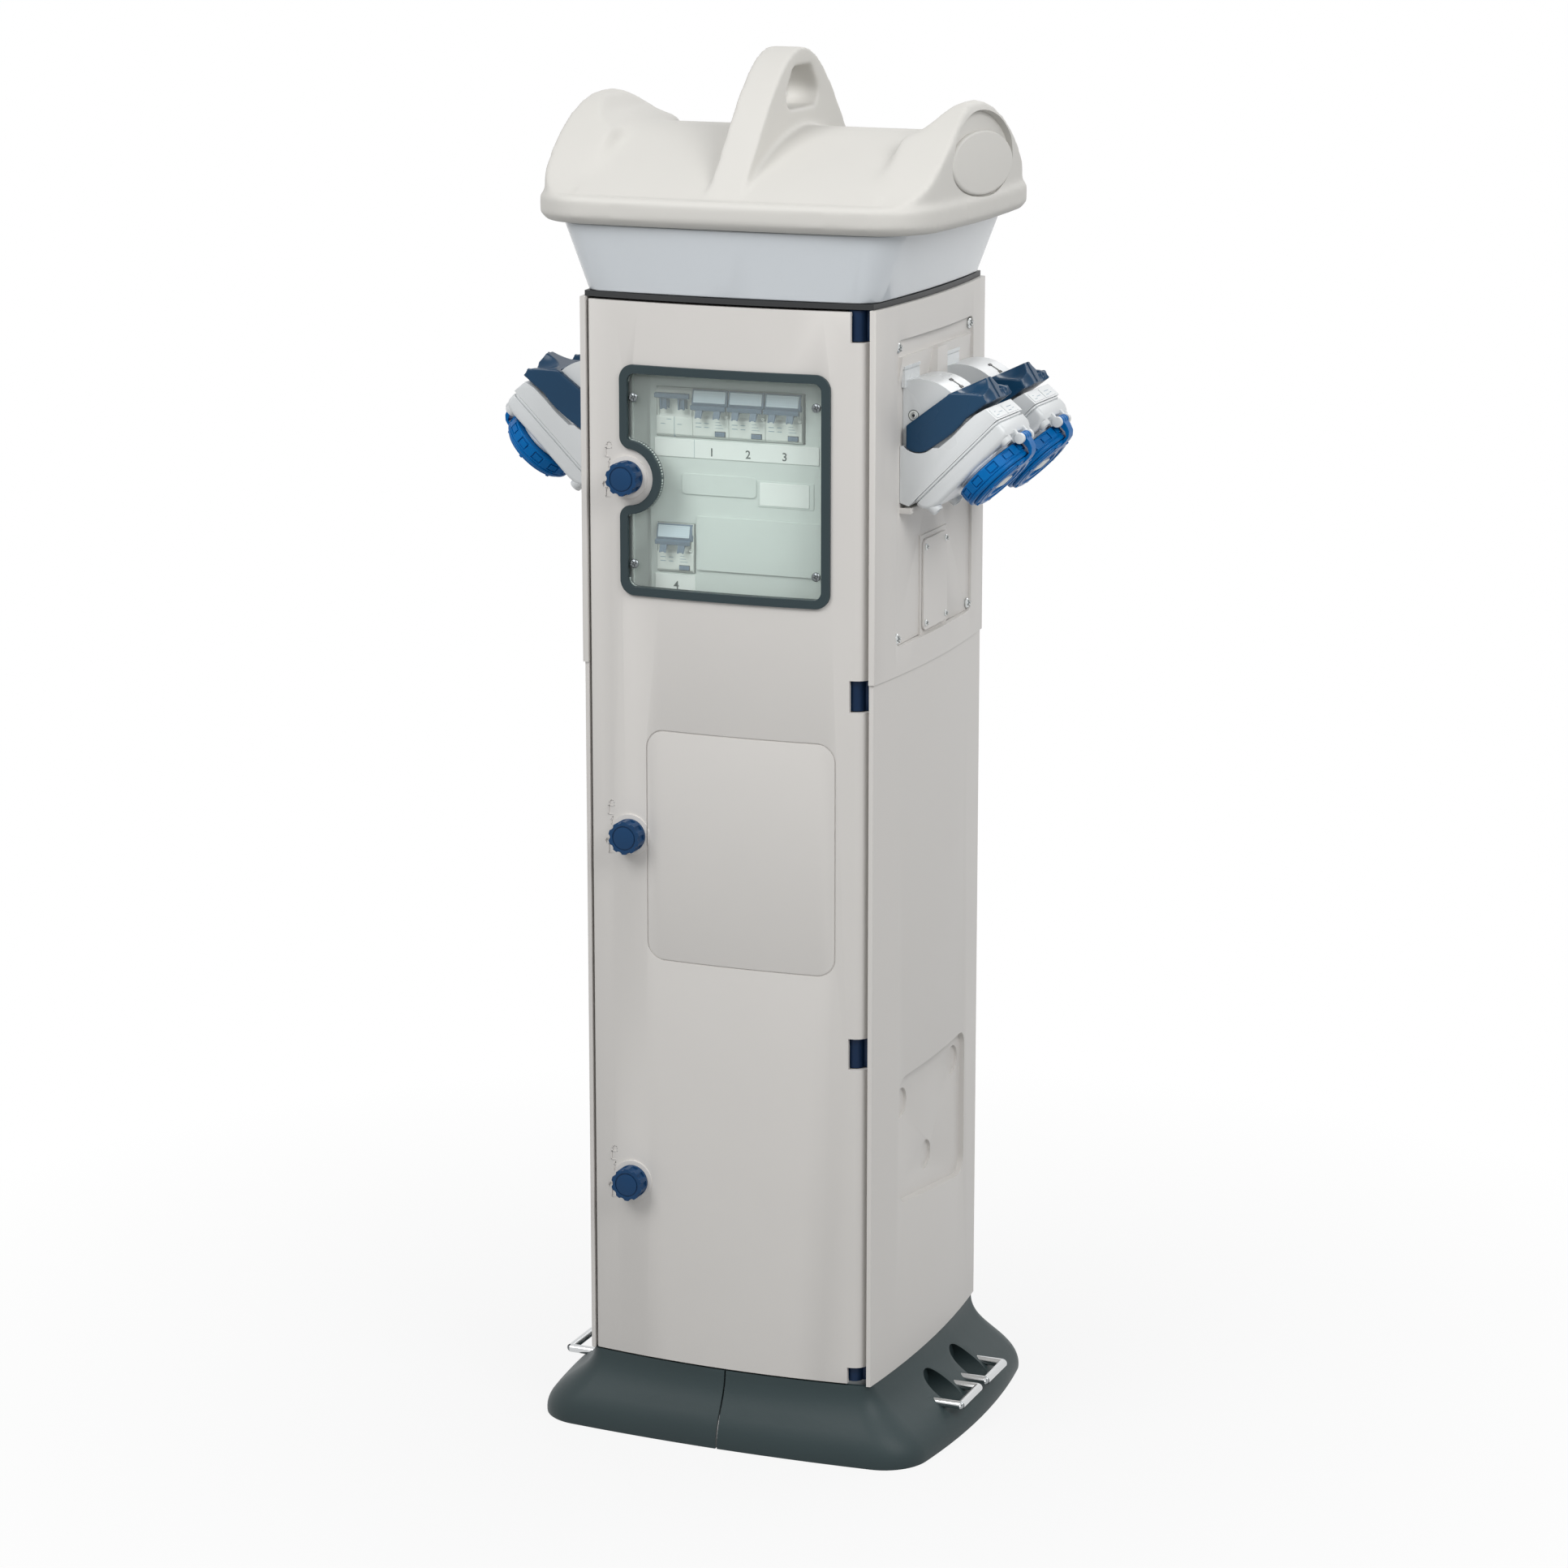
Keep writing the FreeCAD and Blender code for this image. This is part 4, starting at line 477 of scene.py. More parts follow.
def studio():
    """White studio: the world is white to the eye and gives a weak, slightly cool light."""
    world = bpy.data.worlds.new("studio")
    bpy.context.scene.world = world
    world.use_nodes = True
    world.node_tree.nodes.clear()
    soft = add(world, "ShaderNodeBackground", Color=(0.97, 0.985, 1.0, 1), Strength=WORLD_LIGHT)
    plain = add(world, "ShaderNodeBackground", Color=(1, 1, 1, 1))
    mix = add(world, "ShaderNodeMixShader", [(0, seen_white(world)), (1, soft.outputs[0]),
                                             (2, plain.outputs[0])])
    add(world, "ShaderNodeOutputWorld", [("Surface", mix.outputs[0])])
    bpy.context.scene.view_settings.view_transform = "Standard"
    for name, place, aim, size, power in LAMPS:
        lamp(name, place, aim, size, power)


def floor():
    """A floor that is white to the eye and keeps a faint contact shadow, which fades outwards."""
    mat = material("studio_floor")
    place = add(mat, "ShaderNodeTexCoord").outputs["Object"]
    reach = add(mat, "ShaderNodeVectorMath", [(0, place)], operation="LENGTH")
    fade = add(mat, "ShaderNodeMapRange", [("Value", reach.outputs["Value"])], From_Min=0.25, From_Max=1.1,
               To_Min=0.88, To_Max=1.0)
    share = add(mat, "ShaderNodeMath", [(0, fade.outputs[0]), (1, seen_white(mat))], operation="MULTIPLY")
    matt = add(mat, "ShaderNodeBsdfDiffuse", Color=(0.5, 0.5, 0.5, 1))
    white = add(mat, "ShaderNodeEmission", Color=(1, 1, 1, 1))
    both = add(mat, "ShaderNodeMixShader", [(0, share.outputs[0]), (1, matt.outputs[0]), (2, white.outputs[0])])
    add(mat, "ShaderNodeOutputMaterial", [("Surface", both.outputs[0])])
    mesh = bpy.data.meshes.new("floor")
    work = bmesh.new()
    bmesh.ops.create_grid(work, x_segments=1, y_segments=1, size=FLOOR_HALF)
    work.to_mesh(mesh)
    work.free()
    mesh.materials.append(mat)
    obj = bpy.data.objects.new("floor", mesh)
    bpy.context.scene.collection.objects.link(obj)


# Lid: the size of its cells, the rounds of relaxing, and the reach of the valleys between handle and ears
LID_CELL, LID_ROUNDS, VALLEY_ROUNDS, UPPER_ROUNDS = 2.4, 6, 24, 3
VALLEY_NEAR, VALLEY_FAR, VALLEY_HIGH, RIM_HIGH = 52, 172, 64, 6
OVAL_STEPS, LID_SHARP = 64, 50


def oval(wide, up, down, middle):
    """An egg-shaped outline across an ear: half its width, its reach up and down, and its middle's level."""
    turns = [2 * math.pi * n / OVAL_STEPS for n in range(OVAL_STEPS)]
    return [(0, wide * math.cos(t), middle + (up if math.sin(t) > 0 else down) * math.sin(t)) for t in turns]


def ear_recess(side, tool):
    """The arch sunk into an ear's outer face, as a tool, or the rounded oval plateau that stands in it."""
    lean = Matrix.Rotation(math.radians(-8 * side), 4, "Y")
    place = Matrix.Translation((side * (LID_HALF - 6), 0, LID_FOOT)) @ lean
    work = bmesh.new()
    if tool:
        slab(work, oval(80, 47, 30, 27), (side * 20, 0, 0), place=place)
        return wrap("ear_arch_tool", work, M["lid"], "column")
    slab(work, oval(78.6, 29, 28.6, 27), (side * 6, 0, 0), place=place @ Matrix.Translation((side * -2, 0, 0)))
    return bake(wrap("ear_plateau_drawn", work, M["lid"], "column", bevel=2.8, segments=5))


def lid():
    """The moulded lid: the solid remeshed and relaxed, most of all above the rim, where its forms flow."""
    obj = finish_piece("lid_shell", copy_of("lid", 0), M["lid"], "column", "lid")
    softened(obj, LID_CELL, LID_ROUNDS)
    work = bmesh.new()
    work.from_mesh(obj.data)
    upper = [vert for vert in work.verts if vert.co.z > (LID_FOOT + RIM_HIGH) * MM]
    valley = [vert for vert in upper
              if VALLEY_NEAR < abs(vert.co.x) / MM < VALLEY_FAR and vert.co.z < (LID_FOOT + VALLEY_HIGH) * MM]
    for verts, rounds in ((valley, VALLEY_ROUNDS), (upper, UPPER_ROUNDS)):
        for _ in range(rounds):
            bmesh.ops.smooth_vert(work, verts=verts, factor=0.5, use_axis_x=True, use_axis_y=True,
                                  use_axis_z=True)
    work.to_mesh(obj.data)
    work.free()
    for side in (-1, 1):
        carve(obj, ear_recess(side, True))
        joined(obj, ear_recess(side, False))
    obj.data.shade_smooth()
    obj.data.set_sharp_from_angle(angle=math.radians(LID_SHARP))


# Door face
def numeral(text, x, z, tall, y):
    """A plain raised number on the label strip."""
    curve = bpy.data.curves.new("numeral_" + text, "FONT")
    curve.body = text
    curve.size = tall * 1.4 * MM
    curve.align_x = "CENTER"
    curve.extrude = 0.1 * MM
    curve.offset = 0.13 * MM
    obj = bpy.data.objects.new("numeral_" + text, curve)
    bpy.context.scene.collection.objects.link(obj)
    mesh = bpy.data.meshes.new_from_object(obj.evaluated_get(bpy.context.evaluated_depsgraph_get()))
    mesh.transform(Matrix.Translation(Vector((x, y, z)) * MM) @ Matrix.Rotation(math.pi / 2, 4, "X"))
    bpy.data.objects.remove(obj)
    finish_piece("numeral_" + text, mesh, M["ink"], "column")


def emblems():
    """Raised marks beside each knob: a closed padlock, a curved arrow and an open padlock."""
    work = bmesh.new()
    for level in (KNOB_Z - step * KNOB_PITCH for step in range(3)):
        x = KNOB_X - 20
        y = face_y(x) + 0.1
        closed = [(-2.5, 25.1), (-2.5, 28.2), (-1.6, 30.0), (0, 30.7), (1.6, 30.0), (2.5, 28.2), (2.5, 25.1)]
        opened = [(-6.6, -9.6), (-6.6, -8.2), (-5.9, -6.6), (-4.3, -6.0), (-2.7, -6.6), (-2.0, -8.2),
                  (-2.0, -11.6)]
        arrow = [(0.9, -3.3), (0.0, 0.3), (-0.5, 4.0), (-0.5, 7.6), (0.0, 11.3), (0.9, 14.9)]
        lines = [closed, opened, arrow, [(-1.6, 12.4), (0.9, 14.9), (2.2, 11.6)]]
        for low in (17.2, -19.5):
            lines.append([(-3.5, low), (3.5, low), (3.5, low + 7.9), (-3.5, low + 7.9), (-3.5, low)])
        for line in lines:
            for (left, low), (right, high) in zip(line, line[1:]):
                stroke(work, (x + left, y, level + low), (x + right, y, level + high), 0.8)
    wrap("door_emblems", work, M["column"], "door")


def stroke(work, start, end, wide):
    """A short raised line on the door's face."""
    a, b = Vector(start), Vector(end)
    way = (b - a).normalized()
    long = (b - a).length + wide * 0.7
    side = way.cross(Vector((0, 1, 0)))
    turn = Matrix((way, Vector((0, 1, 0)), side)).transposed().to_4x4()
    place = Matrix.Translation((a + b) / 2) @ turn
    block(work, (-long / 2, long / 2), (-0.45, 0.3), (-wide / 2, wide / 2), place)


# Devices behind the window
def places():
    """Left edge and middle height of each two-module device: the main switch, then the four breakers."""
    return [(DEVICE_LEFT + DEVICE_WIDE * n, ROW_TOP) for n in range(4)] + [(DEVICE_LEFT, ROW_LOW)]


def nose(work, left, middle):
    """The raised front of a device with its two sloping shoulders, seams and side cheeks."""
    face, right = NOSE_Y, left + DEVICE_WIDE - 0.3
    profile = [(22, -22.5), (2.5, -22.5), (0, -20), (0, -4.5), (2.4, -2), (2.4, 11), (0, 13), (0, 20),
               (2.5, 22.5), (22, 22.5)]
    slab(work, [(left, face + y, middle + z) for y, z in profile], (right - left, 0, 0))
    block(work, (left, right), (face + 17, -62.3), (middle - 42, middle + 42))
    for x in (left + 0.8, right - 2.2):
        block(work, (x, x + 1.4), (face + 0.3, face + 6), (middle - 5, middle + 13))


def switch_nose():
    """The main switch: its case, and the printed marks on it."""
    work = bmesh.new()
    left, middle = places()[0]
    nose(work, left, middle)
    wrap("main_switch_case", work, M["device"], "column", "main_switch", 0.5)
    work = bmesh.new()
    x = left + MODULE - 0.2
    block(work, (x - 0.25, x + 0.25), (NOSE_Y - 0.15, BOARD_Y), (middle - 22.3, middle - 4))
    for n, row in ((4.2, 6.5), (10.0, 2.2), (20.5, 6.5)):
        level = middle - row - 4
        block(work, (left + n, left + n + 4.5), (NOSE_Y - 0.12, BOARD_Y), (level - 0.6, level))
    wrap("main_switch_marks", work, M["pale_ink"], "column")


def breakers():
    """Four breakers: pale cases, slate upper frames with dotted label covers, printed marks."""
    cases, frames, covers, marks, well_shade = (bmesh.new() for _ in range(5))
    face = NOSE_Y
    for left, middle in places()[1:]:
        nose(cases, left, middle)
        turned(cases, [(face, TIP), (face - 1.2, 0.9), (face - 0.9, 1.7), (face + 1, 1.8)],
               (left + DEVICE_WIDE - 2.2, 0, middle - 1.5), (0, 1, 0), steps=20)
        profile = [(face + 2, middle + 6.5), (face - 2.6, middle + 7.2), (face - 3.4, middle + 9.4),
                   (face - 0.6, middle + 22.3), (face + 2, middle + 22.4)]
        slab(frames, [(left + 0.3, y, z) for y, z in profile], (DEVICE_WIDE - 0.9, 0, 0))
        tilt = Matrix.Rotation(-math.atan2(2.8, 12.9), 4, "X")
        place = Matrix.Translation((left + MODULE - 0.15, face - 2.15, middle + 15.6)) @ tilt
        slab(covers, [(-15.6, 0, -5.3), (15.6, 0, -5.3), (15.6, 0, 5.7), (-15.6, 0, 5.7)], (0, -0.8, 0), 0.8,
             place)
        # A dark rim round each test button: painted shade of the well it sits in
        block(well_shade, (left + 21.8, left + 32.4), (face - 0.12, face + 1), (middle - 20.2, middle - 15.2))
        for n in range(4):
            start = left + 3 + (n % 2) * 8.5
            level = middle - 8.5 - (n // 2) * 3.6
            block(marks, (start, start + 5.5 - n % 2), (face - 0.1, face), (level - 0.35, level + 0.35))
        for n in range(3):
            level = middle - 7.3 - n * 2.6
            block(marks, (left + 22.5, left + 27 + n * 1.6), (face - 0.1, face), (level, level + 0.5))
    wrap("breaker_cases", cases, M["device"], "column", "breakers", 0.5)
    wrap("breaker_frames", frames, M["slate"], "column", bevel=0.5)
    wrap("breaker_covers", covers, M["dots"], "column", bevel=0.2)
    wrap("breaker_marks", marks, M["pale_ink"], "column")
    wrap("breaker_button_well_shade", well_shade, M["slot"], "column")


def handle(name, left, middle, top, hang, kick):
    """A bar with two hoops on a barrel. top is the bar's level, hang the hoops' drop and kick their slant."""
    work = bmesh.new()
    face = NOSE_Y
    turned(work, [(left + 5.4, TIP), (left + 5.4, 3.4), (left + 29.9, 3.4), (left + 29.9, TIP)],
           (0, BOARD_Y + 3, middle + 4), (1, 0, 0), steps=24)
    high = middle + top
    bar = [(face - 7.0, high - 4.7), (face - 7.6, high - 0.9), (face - 4.1, high), (face - 4.1, high - 5.5)]
    slab(work, [(left + 0.7, y, z) for y, z in bar], (DEVICE_WIDE - 1.7, 0, 0))
    low = high - hang
    hoop = [(face + 5, high - 2.4), (face - 6.0, high - 2.4), (face - 5.2 - kick, low),
            (face - 4.2 - kick, low - 0.2), (face - 1.2 - kick, low + 3 + 0.3 * kick)]
    if kick:
        hoop.append((face - 2.5, middle + 3.4))
    hoop.append((face + 5, middle + 1))
    web = [(face - 4.2 - 0.5 * kick, high - 3), (face - 4.2 - 1.1 * kick, low + 0.6),
           (face - 3.5 - 1.1 * kick, low + 0.6), (face - 2.6 - 0.7 * kick, high - 3)]
    for start in (left + 5.6, left + 23.2):
        for edge in (start, start + 4.9):
            slab(work, [(edge, y, z) for y, z in hoop], (1.7, 0, 0))
        slab(work, [(start, y, z) for y, z in web], (6.6, 0, 0))
    wrap(name + "_grip", work, M["toggle"], NODES[name]["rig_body"], name, 0.45)


def handles():
    """The main switch's handle and the breakers' handles, whose hoops slant so that they turn clear."""
    for index, (left, middle) in enumerate(places()):
        name = "breaker_toggle_%d" % index if index else "main_toggle"
        handle(name, left, middle, *((8.9, 12.0, 4.0) if index else (18.5, 15.5, 0.0)))


def test_buttons():
    """A rounded slate cap with three ribs on each breaker."""
    face = NOSE_Y
    for index, (left, middle) in enumerate(places()[1:], start=1):
        work = bmesh.new()
        corners = [(left + 22.3, face - 1.6, middle - 19.6), (left + 31.9, face - 1.6, middle - 19.6),
                   (left + 31.9, face - 1.6, middle - 15.8), (left + 22.3, face - 1.6, middle - 15.8)]
        slab(work, corners, (0, 4.5, 0), 0.8)
        for n in range(3):
            x = left + 25 + 2 * n
            block(work, (x, x + 0.8), (face - 1.9, face), (middle - 18.9, middle - 16.5))
        wrap("test_button_cap_%d" % index, work, M["slate"], "button_%d" % index, "test_button_%d" % index, 0.3)


def device_board():
    """The cover plate round the devices with its label strips and bare plates."""
    clone("inner_panel", M["board"], 0.5)
    face = BOARD_Y - 0.05
    work = bmesh.new()
    plate(work, (-79, 82), (ROW_TOP - 41, ROW_TOP - 24.5), face, 0.7, 0.8)
    plate(work, (-79, -39.5), (ROW_LOW - 39.5, ROW_LOW - 24.5), face, 0.7, 0.8)
    plate(work, (24.5, 72.5), (889.5, 910.5), face, 1.0, 0.8)
    wrap("label_strips", work, M["strip"], "column", bevel=0.2)
    work = bmesh.new()
    plate(work, (-52, 21), (895.5, 914.5), face, 1.1, 3.5)
    plate(work, (-37.5, 86), (ROW_LOW - 19, ROW_LOW + 31), face, 1.6, 1.2)
    plate(work, (23, 77), (888, 912), face, 0.5, 1.0)
    for start, end, near in ((-103, -101.4, -121), (-101.4, -86, -119), (-86, -84.4, -120.5)):
        block(work, (start, end), (near, -117.5), (WINDOW_LOW - 4, WINDOW_HIGH + 4))
    wrap("board_plates", work, M["board"], "column", bevel=0.5)
    work = bmesh.new()
    block(work, (-40.0, -39.6), (face - 0.8, face), (ROW_TOP - 41, ROW_TOP - 24.5))
    wrap("strip_marks", work, M["pale_ink"], "column")
    for n in range(3):
        numeral(str(n + 1), DEVICE_LEFT + MODULE * (3 + 2 * n), ROW_TOP - 38.5, 7.5, face - 0.75)
    numeral("4", DEVICE_LEFT + MODULE, ROW_LOW - 38, 7.5, face - 0.75)


# Screws
def screw(work, cross, at, axis, radius, tall):
    """A domed head with a cross recess; at is the middle of its top."""
    way = Vector(axis)
    turned(work, [(0, TIP), (0, radius * 0.45), (-tall * 0.25, radius * 0.8), (-tall * 0.6, radius),
                  (-tall, radius), (-tall, TIP)], at, way, steps=28)
    turn = way.to_track_quat("X", "Z").to_matrix().to_4x4()
    for spin in (20, 110):
        place = Matrix.Translation(at) @ turn @ Matrix.Rotation(math.radians(spin), 4, "X")
        block(cross, (-tall * 0.45, 1), (-radius * 0.62, radius * 0.62), (-radius * 0.13, radius * 0.13), place)


def screws(name, body, replaces, spots, mat="screw"):
    """A group of screw heads as one piece. Each spot gives its top, direction, radius and height."""
    work, cross = bmesh.new(), bmesh.new()
    for at, axis, radius, tall in spots:
        screw(work, cross, at, axis, radius, tall)
    obj = wrap(name, work, M[mat], body, replaces)
    # Some heads on the left side drop out of this cut, and which ones differs from run to run
    carve(obj, wrap(name + "_tool", cross, M["screw"], body))


def all_screws():
    """The screws of the side frames and blank plates, and those of the window."""
    panel = []
    for side in (-1, 1):
        panel += [((side * (PANEL_FACE + 3.2), y, z), (side, 0, 0), 5.0, 3.0)
                  for y in (-93, 93) for z in (OPENING_LOW + 7, OPENING_HIGH - 7)]
        panel += [((side * (PANEL_FACE + 5.6), y, z), (side, 0, 0), 3.0, 1.8)
                  for y in (-26, 26) for z in (OPENING_LOW + 10, OPENING_LOW + 81)]
    screws("panel_screw_heads", "column", "panel_screws", panel)
    y = face_y(89, -1) - 3
    window = [((x, y, z), (0, -1, 0), 4.2, 2.6) for x in (-89, 89) for z in (WINDOW_LOW + 29, WINDOW_HIGH - 30)]
    screws("window_screw_heads", "door", "window_screws", window, "dark_screw")


# Sockets on the side panels, drawn once round the lever's pivot or along the sloping cover
MOUTH, HINGE, ACROSS = (RING_ALONG, 0, 0), (HINGE_ALONG, 0, HINGE_OUT), (0, 1, 0)
OUTER = -COVER_THICK


def at_socket(index):
    """The place of a lever's pivot. Sockets 1 and 2 are on the right, 3 and 4 on the left."""
    side, depth = (1 if index < 3 else -1), (-1 if index % 2 else 1) * SOCKET_PITCH / 2
    place = Matrix.Translation((side * PIVOT_OUT, depth, PIVOT_HIGH))
    return place @ Matrix.Rotation(0 if side > 0 else math.pi, 4, "Z")


def at_cover(index):
    """The place of a cover: x runs up its slope and z into the body."""
    start = Matrix.Translation((COVER_X, 0, COVER_Z))
    return at_socket(index) @ start @ Matrix.Rotation(math.radians(-COVER_ANGLE), 4, "Y")


def drawn(work, mat, **more):
    """A piece in the making, to be copied to its places, joined or cut with."""
    return wrap("drawn", work, M[mat], "column", **more)


def flange():
    """The two thin steps of the cover's edge, with the seam between cover and body."""
    work = bmesh.new()
    for wide, start, end in ((SOCKET_HALF, -0.3, -2.4), (SOCKET_HALF - 0.9, -2.4, -3.4)):
        low, high = COVER_LOW + SOCKET_HALF - wide, COVER_END - SOCKET_HALF + wide
        slab(work, [(low, -wide, start), (high, -wide, start), (high, wide, start), (low, wide, start)],
             (0, 0, end - start), 7)
    return drawn(work, "socket")


def cover_shell():
    """The rounded body of the cover, drawn as its side outline, with the plug mouth cut through."""
    work = bmesh.new()
    low, back = COVER_LOW, -3.4
    side = [(low, back), (low, -6), (low + 1.5, -10.2), (low + 5, -14), (low + 10.5, -16.8), (low + 18, OUTER),
            (COVER_END - 9, OUTER), (COVER_END - 2.5, OUTER + 2), (COVER_END, OUTER + 7), (COVER_END, back)]
    slab(work, [(x, -SOCKET_HALF, z) for x, z in side], (0, 2 * SOCKET_HALF, 0))
    edges = [edge for edge in work.edges if all(abs(abs(vert.co.y) - SOCKET_HALF) < 0.01 for vert in edge.verts)
             and edge.verts[0].co.y * edge.verts[1].co.y > 0 and min(vert.co.z for vert in edge.verts) < -3.5]
    bmesh.ops.bevel(work, geom=edges, offset=4.6, offset_type="OFFSET", segments=5, profile=0.5, affect="EDGES",
                    material=-1, clamp_overlap=True)
    tool = bmesh.new()
    turned(tool, [(-1, TIP), (-1, PLUG_BORE), (OUTER - 12, PLUG_BORE), (OUTER - 12, TIP)], MOUTH)
    return carve(drawn(work, "socket"), drawn(tool, "socket"))


def cover_fittings():
    """What stands on the cover: the ring's collar, the screw towers, and the hinge's ears and pin."""
    work = bmesh.new()
    turned(work, [(OUTER + 2, PLUG_BORE), (OUTER + 2, 31.5), (OUTER - 1.5, 31), (OUTER - 2, 30),
                  (OUTER - 3, 30), (OUTER - 3, PLUG_BORE)], MOUTH, closed=True)
    for x, y in TOWERS:
        turned(work, [(OUTER + 6, TIP), (OUTER + 6, 6.6), (OUTER - 2.6, 5.7), (OUTER - 3.2, 5.2),
                      (OUTER - 3.2, 3.8), (OUTER + 1, 3.6), (OUTER + 1, TIP)], (x, y, 0), steps=28)
    for start, end in ((-14, -9.6), (9.6, 14)):
        turned(work, [(start, TIP), (start, 5.0), (end, 5.0), (end, TIP)], HINGE, ACROSS, steps=28)
        block(work, (HINGE_ALONG - 6.5, HINGE_ALONG + 2.5), (start + 0.4, end - 0.4), (HINGE_OUT, OUTER + 4))
    turned(work, [(-10, TIP), (-10, 2), (10, 2), (10, TIP)], HINGE, ACROSS, steps=20)
    return drawn(work, "socket")


def socket_cover():
    """The sloping front cover with its screws, and the label cards on the body's end above it."""
    obj = joined(joined(flange(), cover_shell()), cover_fittings())
    obj = spread(obj, "socket_cover_shells", at_cover, replaces="socket_covers")
    step = obj.modifiers.new("round", "BEVEL")
    step.width, step.segments = 0.6 * MM, 2
    step.limit_method, step.angle_limit = "ANGLE", math.radians(40)
    work = bmesh.new()
    for x, y in TOWERS:
        turned(work, [(OUTER + 1, TIP), (OUTER + 1, 3.2), (OUTER - 1.4, 3.2), (OUTER - 2, 2.4),
                      (OUTER - 2, 1.4), (OUTER - 0.2, 1.3), (OUTER - 0.2, TIP)], (x, y, 0), steps=20)
    spread(drawn(work, "dark_screw"), "tower_screws", at_cover)
    end = Matrix.Translation((COVER_END + 1, 0, 0)) @ Matrix.Rotation(math.radians(-5.6), 4, "Y")
    work = bmesh.new()
    for y in (-30, 0.5):
        card = [(-0.4, y, 1.5), (-0.4, y + 29, 1.5), (-0.4, y + 29, 12), (-0.4, y, 12)]
        slab(work, card, (0.9, 0, 0), 1.2, end)
    spread(drawn(work, "socket", bevel=0.2), "label_cards", at_cover)
    work = bmesh.new()
    for y, long, level in ((-25, 6, 4), (-16, 9, 6), (-24, 3, 8), (6, 7, 4), (17, 5, 5), (8, 12, 8)):
        block(work, (0.45, 0.6), (y, y + long), (level, level + 0.6), end)
    spread(drawn(work, "pale_ink"), "label_marks", at_cover)


def socket_body():
    """The curved wedge that carries the cover, its drum, the boss beside the lever and the clip box behind."""
    clone("socket_bodies", M["socket"], 1.6, 3)
    work = bmesh.new()
    block(work, (WALL_X, -13.4), (-31, 7), (38, 53))
    block(work, (WALL_X, -14.4), (-30, 6), (53, 55))
    block(work, (WALL_X, -13.0), (-32, 8), (54.4, 57))
    spread(drawn(work, "socket", bevel=1.0), "clip_boxes", at_socket)
    work = bmesh.new()
    place = Matrix.Rotation(math.radians(-60), 4, "Y")
    skin = (DRUM_RADIUS - 0.4, DRUM_RADIUS + 0.3)
    block(work, skin, (2.8, 5.0), (-7, 7), place)
    for level in (-7, 4.4):
        block(work, skin, (0.8, 7.0), (level, level + 2.6), place)
    spread(drawn(work, "black"), "drum_marks", at_socket)
    # The dark ring round each boss and the dark disc in its screw's socket are painted shade
    for name, mat, radius, rise, bore in (("boss_shadows", "slot", 5.2, 0.1, 4.2),
                                          ("boss_rings", "device", 4.5, 0.35, 3.1),
                                          ("boss_screws", "screw", 2.8, 0.3, 1.3),
                                          ("boss_socket_shade", "slot", 1.3, 0.12, TIP)):
        work = bmesh.new()
        profile = [(-0.5, bore), (-0.5, radius), (rise - 0.08, radius), (rise, radius - 0.2), (rise, bore)]
        for way in (-1, 1):
            turned(work, profile, (-6.3, way * DRUM_HALF, 12.8), (0, way, 0), steps=28, closed=True)
        spread(drawn(work, mat), name, at_socket)


